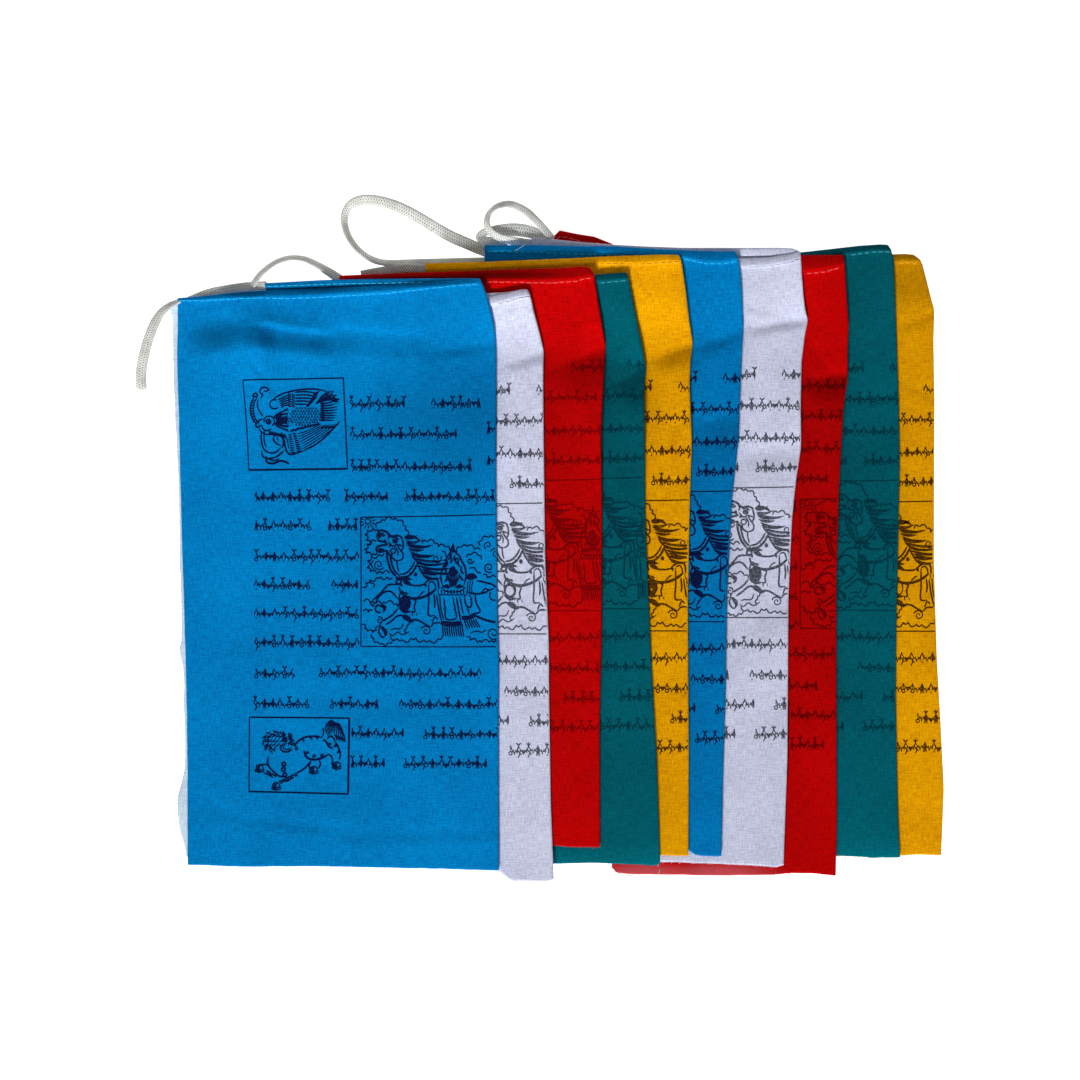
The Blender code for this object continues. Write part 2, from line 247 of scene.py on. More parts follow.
# How far the cord inside lifts each hem's outer side, in mm.
SWELL = (1.5, 0.9, 1.5, 1.2, 0.7, 1.0, 0.45, 1.4, 1.5, 1.1)


def ramp(low, high, x):
    t = np.clip((np.asarray(x, float) - low) / (high - low), 0.0, 1.0)
    return t * t * (3 - 2 * t)


def table(points, at):
    xs, ys = zip(*points)
    return np.interp(at, xs, ys)


def noise2(x, y, seed):
    """Smooth value noise between -1 and 1 at unit spacing, the same each run."""
    x, y = np.broadcast_arrays(np.asarray(x, float), np.asarray(y, float))
    i, j = np.floor(x).astype(np.int64), np.floor(y).astype(np.int64)
    fx, fy = x - i, y - j
    fx, fy = fx * fx * (3 - 2 * fx), fy * fy * (3 - 2 * fy)

    def corner(a, b):
        h = (a * 374761393 + b * 668265263 + seed * 1442695041) & 0xFFFFFFFF
        h = ((h ^ (h >> 13)) * 1274126177) & 0xFFFFFFFF
        return ((h ^ (h >> 16)) & 0xFFFF) / 32767.5 - 1.0

    low = corner(i, j) * (1 - fx) + corner(i + 1, j) * fx
    high = corner(i, j + 1) * (1 - fx) + corner(i + 1, j + 1) * fx
    return low * (1 - fy) + high * fy


def place(x, y, z):
    return np.stack(
        np.broadcast_arrays(
            (np.asarray(x, float) - CENTRE[0]) * UNIT,
            (CENTRE[1] - np.asarray(y, float)) * UNIT,
            np.asarray(z, float),
        ),
        axis=-1,
    )


# ------------------------------------------------------------------- heights
def rise_of(left):
    inner = max(b for b in BENDS if b <= left - 3)
    outer = max(b for b in BENDS if b <= inner - 34)
    return outer, inner


LAYERS = [
    (k, half) for k in range(len(FLAGS) - 1, -1, -1) for half in ("back", "front")
]
RISES = [rise_of(OPEN_EDGES[k][0 if half == "front" else 1]) for k, half in LAYERS]


# Where the slope down from the hems ends, and how far the heap swells below it.
HEAP_X = (100, 500, 532, 594, 632, 681, 734, 792, 832, 877, 925)
HEAP_Y = (352, 352, 353, 354, 368, 350, 336, 326, 373, 376, 330)
HEAP_SWELL = (0.0, 0.7, 0.9, 1.9, 1.8, 1.9, 1.3, 1.1, 1.8, 0.4, 0.0)


def slope_share(x, y):
    kink = np.interp(x, HEAP_X, HEAP_Y)
    return ramp(kink - 70, kink + 6, y)


def underside(k, half, x, y):
    """Height of a layer's underside, as in the frame but smooth."""
    share = slope_share(x, y)
    pitch = PITCH_HEM + share * (PITCH_BODY - PITCH_HEM)
    total = np.zeros(np.broadcast(np.asarray(x, float), np.asarray(y, float)).shape)
    for layer, (outer, inner) in zip(LAYERS, RISES):
        if layer == (k, half):
            break
        total = total + pitch * ramp(outer, inner, x)
    if (k, half) == (0, "front"):
        total = total + CORNER_LIFT * (1 - ramp(226, 262, x)) * (1 - share)
    # One slow wave that the whole heap shares, fading out near the floor.
    wave = 0.45e-3 * noise2(np.asarray(x) / 62.0, np.asarray(y) / 88.0, 5)
    wave = wave + 0.25e-3 * noise2(np.asarray(x) / 27.0 + 9, np.asarray(y) / 46.0, 6)
    t = np.maximum(np.asarray(y, float) - np.interp(x, HEAP_X, HEAP_Y), 0) / 62.0
    swell = 1e-3 * np.interp(x, HEAP_X, HEAP_SWELL) * t * np.exp(1 - t)
    return total + (wave + swell) * ramp(0.5e-3, 6e-3, total)


FOLDS = []
for flag in FLAGS:
    ys = np.arange(215.0, 900.0, 1.0)
    xs = table(flag["fold"], ys)
    kernel = np.exp(-0.5 * (np.arange(-6, 7) / 2.0) ** 2)
    padded = np.pad(xs, 6, mode="edge")
    FOLDS.append((ys, np.convolve(padded, kernel / kernel.sum(), "valid")))


def fold_x(k, y):
    return np.interp(y, *FOLDS[k])


def left_x(k, half, y):
    flag = FLAGS[k]
    if half == "back":
        return np.full(np.shape(y), float(flag["left"][1]))
    edge = flag["left"][0] + flag["slant"] * ramp(340, 800, y)
    if k == 0:
        edge = edge - 1.5 * np.exp(-(((np.asarray(y) - 345) / 45.0) ** 2))
    return edge + 0.25 * noise2(np.asarray(y) / 14.0, 0.5, 40 + k)


def foot_y(k, x, half="front"):
    flag = FLAGS[k]
    base = table(flag.get("back_foot", flag["foot"]) if half == "back" else flag["foot"], x)
    return base + 0.35 * noise2(np.asarray(x) / 9.0, 0.5, 60 + k)


def cover(k, x, y, soft=5.0):
    """1 where a flag above lies over this one, 0 where this one shows."""
    x, y = np.broadcast_arrays(np.asarray(x, float), np.asarray(y, float))
    found = np.zeros(x.shape)
    for j in range(k):
        flag = FLAGS[j]
        top = np.minimum(table(flag["top"], x), table(flag["back_top"], x))
        inside = (
            ramp(-soft, soft, fold_x(j, y) - x)
            * ramp(-soft, soft, x - flag["left"][0])
            * ramp(-soft, soft, y - top)
            * ramp(-soft, soft, foot_y(j, x) - y)
        )
        found = np.maximum(found, inside)
    return found


def crease_height(k, x, y):
    x, y = np.broadcast_arrays(np.asarray(x, float), np.asarray(y, float))
    total = np.zeros(x.shape)
    for number, x0, y0, x1, y1, above, below, height, tail in CREASES:
        if number != k + 1:
            continue
        dx, dy = x1 - x0, y1 - y0
        run = math.hypot(dx, dy)
        along = ((x - x0) * dx + (y - y0) * dy) / run
        away = ((x - x0) * -dy + (y - y0) * dx) / run
        away = away + 2.0 * noise2(along / 17.0, number + x0, 70)
        fade = max(14.0, 0.3 * run)
        ends = ramp(-0.15 * run, 0.4 * run, along) * (1 - ramp(run + 3, run + 3 + fade, along))
        up, down = np.maximum(-away, 0), np.maximum(away, 0)
        shape = np.zeros(x.shape)
        if above:
            shape = shape + (0.5 if below else 1.0) * up / above * np.exp(1 - up / above)
        if below:
            soft = np.minimum(down / below, 1.0)
            rise = soft * soft * (3 - 2 * soft)
            if number > 1:
                rise = 0.5 * rise + 0.5 * np.sin(0.5 * np.pi * soft)
            shape = shape + rise * np.exp(-np.maximum(down - below, 0) / tail)
        total = total + height * ends * shape
    return total * 1e-3


def loose(k, half, x, y):
    """What a half adds to the shared height: folds and puffs where it shows."""
    if half == "back":
        return 0.0
    shows = 1 - cover(k, x, y)
    own = 0.35e-3 * noise2(np.asarray(x) / 38.0, np.asarray(y) / 60.0, 20 + k)
    own = own + 0.16e-3 * noise2(np.asarray(x) / 15.0, np.asarray(y) / 24.0, 30 + k)
    near = np.exp(-(((fold_x(k, y) - np.asarray(x)) / 13.0) ** 2))
    puff = 0.75e-3 * near * (0.75 + 0.35 * noise2(0.5, np.asarray(y) / 40.0, 90 + k))
    raised = crease_height(k, x, y) + own + puff
    raised = np.maximum(raised, -0.2e-3)
    # An open edge on the floor lies flat.
    if k in (0, 7):
        raised = raised * (0.25 + 0.75 * ramp(0, 60, np.asarray(x) - FLAGS[k]["left"][0]))
    return raised * shows


# -------------------------------------------------------------- sheet meshes
# Hem profile from the flap's sewn edge, over the top, to the stitching on the
# outer face: share of the hem's height below the top edge, place through the
# thickness (0 inside, 1 outside), share of the bulge over the cord.
HEM_PROFILE = (
    (1.04, 0.22, 0.0), (0.80, 0.04, 0.0), (0.45, 0.0, 0.0), (0.16, 0.06, 0.0),
    (0.03, 0.18, 0.0), (0.0, 0.30, 0.0), (0.03, 0.44, 0.03), (0.12, 0.60, 0.12),
    (0.26, 0.76, 0.32), (0.42, 0.88, 0.56), (0.58, 0.96, 0.80), (0.72, 1.0, 0.96),
    (0.82, 1.0, 1.0), (0.90, 0.92, 0.88), (0.96, 0.80, 0.66), (1.0, 0.70, 0.50),
)  # fmt: skip


def body_rows(fine):
    """Shares from the stitching to the foot, close together where it bends."""
    if fine:
        steps = [1.2] * 10 + [2.2] * 62 + [4.8] * 76 + [1.8] * 5
    else:
        steps = [1.3] * 8 + [2.5] * 54 + [8.0] * 45 + [1.8] * 4
    at = np.concatenate([[0.0], np.cumsum(steps)])
    return at[1:] / at[-1]


def half_columns(k, half):
    """Shares from the open edge to the fold."""
    span = fold_x(k, 500.0) - FLAGS[k]["left"][0 if half == "front" else 1]
    if half == "back":
        steps = [2.0, 4.0] + [span / 17.0] * 16 + [3.0, 2.0]
    elif k == 0:
        steps = [1.2, 1.6] + [2.3] * int(span / 2.3) + [1.5, 1.2]
    else:
        shown = 66.0 if k != 7 else 62.0
        hidden = max(span - shown, 30.0)
        steps = [1.5, 3.0] + [hidden / 14.0] * 14 + [2.0] * int(shown / 2.0) + [1.5, 1.2]
    at = np.concatenate([[0.0], np.cumsum(steps)])
    return at / at[-1]


def half_surface(k, half, share, row_kind, reach):
    """Plan (x, y) and height of one row of one half at these shares."""
    flag = FLAGS[k]
    tops = flag["top"] if half == "front" else flag["back_top"]
    hems = flag["hem"] if half == "front" else flag["back_hem"]
    kind, value, depth, bulge = row_kind
    right = fold_x(k, table(tops, flag["fold"][0][1]) + 3.0)
    for _ in range(3):
        x = None
        y_guess = table(tops, right - 1)
        if kind == "hem":
            y_end = y_guess + value * table(hems, right)
        else:
            start = y_guess + table(hems, right)
            y_end = start + value * (foot_y(k, right, half) - start)
        right = fold_x(k, y_end)
    left = left_x(k, half, y_end)
    x = left + share * (right - reach - left)
    top, hem = table(tops, x), table(hems, x)
    if kind == "hem":
        y = top + value * hem
        thick = HEM
    else:
        start = top + hem
        y = start + value * (foot_y(k, x, half) - start)
        thick = CLOTH + (HEM - CLOTH) * (1 - ramp(0, 10, y - start))
    low = underside(k, half, x, y)
    shows = 1 - cover(k, x, y, 3.0)
    if half == "front":
        z = low + depth * thick + bulge * 1e-3 * SWELL[k] * (0.2 + 0.8 * shows) * np.clip(hem / 8.0, 0.3, 1.15)
        pucker = 0.10e-3 * np.sin(x * 0.9 + 2.0 * np.sin(x * 0.13))
        if kind == "hem":
            z = z + pucker * shows * np.clip(4 * value * (1 - value) + 0.4, 0, 1)
            if value >= 0.9:
                z = z + loose(k, half, x, y) * (value - 0.9) / 0.1 * (depth > 0.5)
        else:
            near_seam = np.exp(-(((y - start) / 7.0) ** 2))
            z = z + loose(k, half, x, y) + pucker * near_seam * shows
            seam = SWELL[k] * 1e-3 * np.clip(hem / 8.0, 0.3, 1.15) * (0.2 + 0.8 * shows)
            z = z + 0.42 * seam * np.exp(-(y - start) / 9.0)
    else:
        z = low + thick - depth * thick
        if kind == "hem" and depth < 0.5:
            z = z + 0.2e-3 * shows
    return x, y, np.maximum(z, 0.19e-3)


ARC = np.array([0.0, 0.18, 0.36, 0.5, 0.64, 0.82, 1.0])


def flag_grid(k):
    """Grid of world points and of (u, v) in metres for the whole sheet."""
    fine = k == 0
    kinds = [("hem", a, d, b) for a, d, b in HEM_PROFILE]
    kinds += [("body", v, 0.5, 0.0) for v in body_rows(fine)]
    front, back = half_columns(k, "front"), half_columns(k, "back")
    points, uvs = [], []
    for kind in kinds:
        depth = kind[2]
        reach = 1.5 + 2.2 * (1 - depth) * (kind[0] == "hem")
        fx, fy, fz = half_surface(k, "front", front, kind, reach)
        bx, by, bz = half_surface(k, "back", back, kind, reach)
        edge = fx[-1] + reach - (0.0 if kind[0] == "body" else 1.6 * (1 - depth))
        angle = np.pi * ARC[1:-1]
        ax = fx[-1] + (edge - fx[-1]) * np.sin(angle)
        ay = fy[-1] + (by[-1] - fy[-1]) * ARC[1:-1]
        az = (fz[-1] + bz[-1]) / 2 + (fz[-1] - bz[-1]) / 2 * np.cos(angle)
        x = np.concatenate([fx, ax, bx[::-1]])
        y = np.concatenate([fy, ay, by[::-1]])
        z = np.concatenate([fz, az, bz[::-1]])
        points.append(place(x, y, z))
        u = np.concatenate([fx, fx[-1] + 0.8 * (1 + np.arange(len(ax))), 2 * fx[-1] + 5 - bx[::-1]])
        v = y if kind[0] == "body" or depth > 0.4 else 2 * table(FLAGS[k]["top"], x) - y
        uvs.append(np.stack([u * UNIT, -v * UNIT], axis=-1))
    return np.array(points), np.array(uvs), (len(front), len(ARC) - 2, len(back))


def grid_mesh(name, points, uvs, thickness):
    """Closes a grid of points into a thin sheet with both of its skins."""
    rows, cols = points.shape[:2]
    du = np.gradient(points, axis=1)
    dv = np.gradient(points, axis=0)
    normal = np.cross(du, -dv)
    length = np.linalg.norm(normal, axis=-1, keepdims=True)
    normal = normal / np.maximum(length, 1e-12)
    if thickness:
        skins = [points + normal * thickness / 2, points - normal * thickness / 2]
    else:
        skins = [points]
    verts = np.concatenate([s.reshape(-1, 3) for s in skins])
    index = np.arange(rows * cols).reshape(rows, cols)
    a, b = index[:-1, :-1].ravel(), index[:-1, 1:].ravel()
    c, d = index[1:, 1:].ravel(), index[1:, :-1].ravel()
    quads = [np.stack([a, d, c, b], axis=1)]
    if thickness:
        n = rows * cols
        quads.append(np.stack([a, b, c, d], axis=1) + n)
        loop = np.concatenate(
            [index[0, :], index[1:, -1], index[-1, -2::-1], index[-2:0:-1, 0]]
        )
        after = np.roll(loop, -1)
        quads.append(np.stack([loop, after, after + n, loop + n], axis=1))
    faces = np.concatenate(quads)
    uv = np.concatenate([uvs.reshape(-1, 2)] * len(skins))
    return make_mesh(name, verts, faces, uv)


def make_mesh(name, verts, faces, uv=None, smooth=True):
    mesh = bpy.data.meshes.new(name)
    sides = faces.shape[1]
    mesh.vertices.add(len(verts))
    mesh.vertices.foreach_set("co", np.asarray(verts, np.float32).ravel())
    mesh.loops.add(faces.size)
    mesh.loops.foreach_set("vertex_index", faces.astype(np.int32).ravel())
    mesh.polygons.add(len(faces))
    mesh.polygons.foreach_set("loop_start", np.arange(0, faces.size, sides, dtype=np.int32))
    mesh.polygons.foreach_set("loop_total", np.full(len(faces), sides, np.int32))
    if uv is not None:
        layer = mesh.uv_layers.new(name="metres")
        layer.data.foreach_set("uv", np.asarray(uv, np.float32)[faces.ravel()].ravel())
    mesh.update(calc_edges=True)
    mesh.validate()
    if smooth:
        mesh.polygons.foreach_set("use_smooth", np.ones(len(mesh.polygons), bool))
    thing = bpy.data.objects.new(name, mesh)
    bpy.context.scene.collection.objects.link(thing)
    return thing


# ----------------------------------------------------------------- materials
def linear(*rgb):
    out = []
    for v in rgb:
        v = v / 255.0
        out.append(v / 12.92 if v <= 0.04045 else ((v + 0.055) / 1.055) ** 2.4)
    return (*out, 1.0)


CLOTH_COLOURS = {
    "blue": (linear(0, 140, 214), linear(0, 105, 168)),
    "white": (linear(222, 226, 250), linear(182, 184, 206)),
    "red": (linear(204, 2, 4), linear(160, 0, 0)),
    "green": (linear(0, 100, 114), linear(0, 75, 86)),
    "yellow": (linear(250, 178, 2), linear(202, 132, 0)),
}
INKS = {
    "blue": linear(8, 6, 54),
    "white": linear(40, 42, 58),
    "red": linear(92, 0, 2),
    "green": linear(0, 40, 54),
    "yellow": linear(46, 14, 2),
}
INK_WEIGHT = {"blue": 0.975, "white": 0.93, "red": 0.8, "green": 0.8, "yellow": 0.95}
THREADS = {
    "blue": linear(40, 200, 250),
    "white": linear(232, 236, 252),
    "red": linear(240, 96, 94),
    "green": linear(70, 165, 180),
    "yellow": linear(246, 182, 40),
}


def node(tree, kind, **values):
    made = tree.nodes.new(kind)
    for key, value in values.items():
        setattr(made, key, value)
    return made


def woven(name, bright, dull, ink=None, patch=0.5, fade=None, shade_and_wear=()):
    """Thin plain-weave cotton: threads, slubs and slight unevenness, with painted shade and light down its length, and
    spots of painted shade and of wear.
    """
    mat = bpy.data.materials.new(name)
    mat.use_nodes = True
    tree = mat.node_tree
    link = tree.links.new
    shader = tree.nodes["Principled BSDF"]
    shader.inputs["Roughness"].default_value = 0.92
    shader.inputs["Specular IOR Level"].default_value = 0.03
    uv = node(tree, "ShaderNodeUVMap", uv_map="metres")
    heights, slubs = [], []
    for turn, (long, fine) in enumerate(((160.0, 1900.0), (1900.0, 210.0))):
        stretch = node(tree, "ShaderNodeMapping")
        stretch.inputs["Scale"].default_value = (long, fine, 1.0)
        stretch.inputs["Location"].default_value = (3.1 * turn, 1.7 * turn, 0.0)
        link(uv.outputs["UV"], stretch.inputs["Vector"])
        slub = node(tree, "ShaderNodeTexNoise")
        slub.inputs["Scale"].default_value = 1.0
        slub.inputs["Detail"].default_value = 2.0
        slub.inputs["Roughness"].default_value = 0.55
        link(stretch.outputs["Vector"], slub.inputs["Vector"])
        slubs.append(slub.outputs["Fac"])
        wave = node(tree, "ShaderNodeTexWave", bands_direction="XY"[1 - turn], wave_profile="SIN")
        wave.inputs["Scale"].default_value = 640.0
        wave.inputs["Distortion"].default_value = 0.6
        wave.inputs["Detail"].default_value = 1.0
        link(uv.outputs["UV"], wave.inputs["Vector"])
        heights.append(wave.outputs["Fac"])
    weave = node(tree, "ShaderNodeMath", operation="ADD")
    link(heights[0], weave.inputs[0])
    link(heights[1], weave.inputs[1])
    both = node(tree, "ShaderNodeMath", operation="ADD")
    link(slubs[0], both.inputs[0])
    link(slubs[1], both.inputs[1])
    cloud = node(tree, "ShaderNodeTexNoise")
    cloud.inputs["Scale"].default_value = 26.0
    cloud.inputs["Detail"].default_value = 3.0
    link(uv.outputs["UV"], cloud.inputs["Vector"])
    pick = node(tree, "ShaderNodeTexNoise")
    pick.inputs["Scale"].default_value = 1250.0
    pick.inputs["Detail"].default_value = 1.0
    link(uv.outputs["UV"], pick.inputs["Vector"])
    grains = node(tree, "ShaderNodeMath", operation="MULTIPLY_ADD")
    grains.inputs[1].default_value = 0.45
    link(pick.outputs["Fac"], grains.inputs[0])
    link(both.outputs[0], grains.inputs[2])
    fleck = node(tree, "ShaderNodeMath", operation="MULTIPLY_ADD")
    fleck.inputs[1].default_value = 0.4
    link(cloud.outputs["Fac"], fleck.inputs[0])
    link(grains.outputs[0], fleck.inputs[2])
    span = node(tree, "ShaderNodeMapRange")
    span.inputs["From Min"].default_value = 1.17
    span.inputs["From Max"].default_value = 1.68
    link(fleck.outputs[0], span.inputs["Value"])
    mix = node(tree, "ShaderNodeMix", data_type="RGBA")
    mix.inputs["A"].default_value = dull
    mix.inputs["B"].default_value = bright
    link(span.outputs["Result"], mix.inputs["Factor"])
    colour = mix.outputs["Result"]
    # Painted shade and light: the colour scaled by stops down the flag's length.
    if fade is not None:
        spot = node(tree, "ShaderNodeNewGeometry")
        parts = node(tree, "ShaderNodeSeparateXYZ")
        link(spot.outputs["Position"], parts.inputs["Vector"])
        down = node(tree, "ShaderNodeMapRange")
        down.inputs["From Min"].default_value = float(place(500.0, 200.0, 0.0)[..., 1])
        down.inputs["From Max"].default_value = float(place(500.0, 900.0, 0.0)[..., 1])
        link(parts.outputs["Y"], down.inputs["Value"])
        strength = node(tree, "ShaderNodeValToRGB")
        stops = strength.color_ramp.elements
        while len(stops) < len(fade):
            stops.new(0.5)
        for n, (y, share) in enumerate(fade):
            value = 0.7 * share**2.2
            stops[n].position = (y - 200.0) / 700.0
            stops[n].color = (value, value, value, 1.0)
        link(down.outputs["Result"], strength.inputs["Fac"])
        painted_along = node(tree, "ShaderNodeVectorMath", operation="MULTIPLY")
        link(colour, painted_along.inputs[0])
        link(strength.outputs["Color"], painted_along.inputs[1])
        full = node(tree, "ShaderNodeVectorMath", operation="SCALE")
        full.inputs["Scale"].default_value = 1 / 0.7
        link(painted_along.outputs["Vector"], full.inputs[0])
        colour = full.outputs["Vector"]
    # Spots of painted shade, and worn places where the strength is above 1.
    for x, y, wide, high, share in shade_and_wear:
        spot = node(tree, "ShaderNodeNewGeometry")
        around = node(tree, "ShaderNodeMapping", vector_type="TEXTURE")
        around.inputs["Location"].default_value = tuple(float(v) for v in place(x, y, 0.0))
        around.inputs["Scale"].default_value = (wide * UNIT, high * UNIT, 1.0)
        link(spot.outputs["Position"], around.inputs["Vector"])
        flat = node(tree, "ShaderNodeVectorMath", operation="MULTIPLY")
        flat.inputs[1].default_value = (1.0, 1.0, 0.0)
        link(around.outputs["Vector"], flat.inputs[0])
        away = node(tree, "ShaderNodeVectorMath", operation="LENGTH")
        link(flat.outputs["Vector"], away.inputs[0])
        reach = node(tree, "ShaderNodeMapRange", interpolation_type="SMOOTHERSTEP")
        reach.inputs["From Min"].default_value = 0.0
        reach.inputs["From Max"].default_value = 1.0
        if share > 1:
            # A worn place, with pale fibres on top.
            reach.inputs["To Min"].default_value = share - 1
            reach.inputs["To Max"].default_value = 0.0
            link(away.outputs["Value"], reach.inputs["Value"])
            worn = node(tree, "ShaderNodeMix", data_type="RGBA")
            worn.inputs["B"].default_value = linear(255, 190, 205)
            link(colour, worn.inputs["A"])
            link(reach.outputs["Result"], worn.inputs["Factor"])
            colour = worn.outputs["Result"]
            continue
        # Painted shade: the colour darkened towards the spot's centre.
        reach.inputs["To Min"].default_value = share**2.2
        reach.inputs["To Max"].default_value = 1.0
        link(away.outputs["Value"], reach.inputs["Value"])
        painted_shade_spot = node(tree, "ShaderNodeVectorMath", operation="SCALE")
        link(colour, painted_shade_spot.inputs[0])
        link(reach.outputs["Result"], painted_shade_spot.inputs["Scale"])
        colour = painted_shade_spot.outputs["Vector"]
    if ink is not None:
        grain = node(tree, "ShaderNodeTexNoise")
        grain.inputs["Scale"].default_value = 900.0
        grain.inputs["Detail"].default_value = 2.0
        link(uv.outputs["UV"], grain.inputs["Vector"])
        worn = node(tree, "ShaderNodeMapRange")
        worn.inputs["From Min"].default_value = 0.40
        worn.inputs["From Max"].default_value = 0.66
        worn.inputs["To Min"].default_value = 0.5 * patch
        worn.inputs["To Max"].default_value = 3.0 * patch
        link(grain.outputs["Fac"], worn.inputs["Value"])
        over = node(tree, "ShaderNodeMix", data_type="RGBA")
        over.inputs["A"].default_value = ink
        link(colour, over.inputs["B"])
        link(worn.outputs["Result"], over.inputs["Factor"])
        colour = over.outputs["Result"]
    link(colour, shader.inputs["Base Color"])
    rough = node(tree, "ShaderNodeMath", operation="MULTIPLY_ADD")
    rough.inputs[1].default_value = 0.35
    link(both.outputs[0], rough.inputs[0])
    link(weave.outputs[0], rough.inputs[2])
    bump = node(tree, "ShaderNodeBump")
    bump.inputs["Strength"].default_value = 0.35
    bump.inputs["Distance"].default_value = 0.12e-3
    link(rough.outputs[0], bump.inputs["Height"])
    link(bump.outputs["Normal"], shader.inputs["Normal"])
    return mat


def plain_thread(name, colour, roughness=0.7):
    mat = bpy.data.materials.new(name)
    mat.use_nodes = True
    tree = mat.node_tree
    shader = tree.nodes["Principled BSDF"]
    shader.inputs["Roughness"].default_value = roughness
    shader.inputs["Specular IOR Level"].default_value = 0.3
    place_node = node(tree, "ShaderNodeNewGeometry")
    grain = node(tree, "ShaderNodeTexNoise")
    grain.inputs["Scale"].default_value = 1400.0
    grain.inputs["Detail"].default_value = 2.0
    tree.links.new(place_node.outputs["Position"], grain.inputs["Vector"])
    mix = node(tree, "ShaderNodeMix", data_type="RGBA")
    mix.inputs["A"].default_value = tuple(0.72 * c for c in colour[:3]) + (1.0,)
    mix.inputs["B"].default_value = colour
    tree.links.new(grain.outputs["Fac"], mix.inputs["Factor"])
    tree.links.new(mix.outputs["Result"], shader.inputs["Base Color"])
    return mat


# A brightness factor for each flag's cloth colour.
TINTS = (1.0, 1.01, 0.99, 0.98, 0.97, 0.95, 0.985, 0.97, 0.99, 0.91)


# Painted shade and light down each flag's length, for shading its folds do not give: plan y and strength.
PAINTED_LIGHT_AND_SHADE_ALONG = (
    ((280, 1.02), (400, 1.03), (640, 1.0), (850, 0.98)),
    ((300, 1.04), (330, 1.03), (350, 1.01), (380, 0.99), (850, 0.98)),
    ((335, 1.08), (372, 0.95), (430, 0.94), (640, 1.0)),
    ((355, 1.06), (380, 0.9), (430, 0.93), (520, 0.98), (640, 0.99), (842, 1.02), (862, 1.15)),
    ((295, 1.1), (330, 1.06), (352, 0.97), (600, 1.0), (850, 0.99)),
    ((320, 1.05), (360, 1.0), (410, 0.97), (440, 0.87), (490, 0.9), (560, 0.95), (700, 0.95), (850, 0.97)),
    ((310, 1.02), (335, 0.99), (370, 1.0), (430, 1.03), (452, 1.02), (480, 0.94), (530, 0.98), (850, 1.0)),
    ((360, 1.06), (384, 0.9), (450, 0.9), (580, 0.93), (660, 0.94), (700, 1.0)),
    ((250, 0.95), (400, 1.0), (480, 0.94), (560, 0.95), (640, 0.99), (800, 1.01), (834, 1.06), (856, 1.18)),
    ((292, 0.9), (312, 1.02), (345, 1.03), (520, 1.02), (850, 1.1)),
)


# Spots of painted shade, and worn places where the strength is above 1: plan x and y, half width and height, strength.
PAINTED_SHADE_AND_WEAR = {
    0: (
        (455, 425, 150, 115, 0.83),
        (380, 560, 120, 120, 0.95),
        (212, 337, 46, 28, 0.82),
        (275, 344, 48, 20, 0.94),
        (325, 346, 46, 20, 0.91),
        (245, 294, 46, 7, 0.74),
        (320, 288, 70, 8, 0.72),
        (410, 284.5, 75, 6, 0.75),
    ),
    2: ((490, 277, 130, 9, 0.6), (385, 277, 60, 6, 0.75)),
    7: ((640, 872, 60, 14, 1.13), (720, 873, 80, 14, 1.13)),
}


def scaled_colour(colour, tint):
    return tuple(v * tint**2.2 for v in colour[:3]) + (1.0,)


def cloth_of(k, colour, ink=None, patch=0.5):
    bright, dull = (scaled_colour(c, TINTS[k]) for c in CLOTH_COLOURS[colour])
    return woven(f"{'print' if ink else 'cloth'}_{colour}_{k + 1}", bright, dull, ink, patch, PAINTED_LIGHT_AND_SHADE_ALONG[k], PAINTED_SHADE_AND_WEAR.get(k, ()))


SEWING = {c: plain_thread(f"thread_{c}", THREADS[c]) for c in THREADS}


# -------------------------------------------------------------------- flags
flag_things = []
for k, flag in enumerate(FLAGS):
    points, uvs, counts = flag_grid(k)
    thing = grid_mesh(flag["name"] + "_cloth", points, uvs, SHEET)
    thing.data.materials.append(cloth_of(k, flag["colour"]))
    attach(thing, "root")
    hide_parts(flag["name"])
    flag_things.append(thing)
    print(flag["name"], counts, len(thing.data.polygons))

# ------------------------------------------------------------ strokes of ink
# Everything printed is a list of strokes in the first flag's plan units. A
# stroke is its points with a width at each of them.
def smooth_line(points, step=1.6, closed=False):
    pts = np.asarray(points, float)
    if len(pts) == 2:
        count = max(2, int(np.linalg.norm(pts[1] - pts[0]) / step) + 1)
        t = np.linspace(0, 1, count)[:, None]
        return pts[0] * (1 - t) + pts[1] * t
    if closed:
        ring = np.vstack([pts[-1], pts, pts[0], pts[1]])
    else:
        ring = np.vstack([2 * pts[0] - pts[1], pts, 2 * pts[-1] - pts[-2]])
    out = []
    for a, b, c, d in zip(ring[:-3], ring[1:-2], ring[2:-1], ring[3:]):
        count = max(2, int(np.ceil(np.linalg.norm(c - b) / step)))
        for t in np.arange(count) / count:
            out.append(
                0.5 * (2 * b + (c - a) * t + (2 * a - 5 * b + 4 * c - d) * t * t
                       + (3 * b - a - 3 * c + d) * t**3)
            )
    out.append(ring[-2])
    return np.array(out)


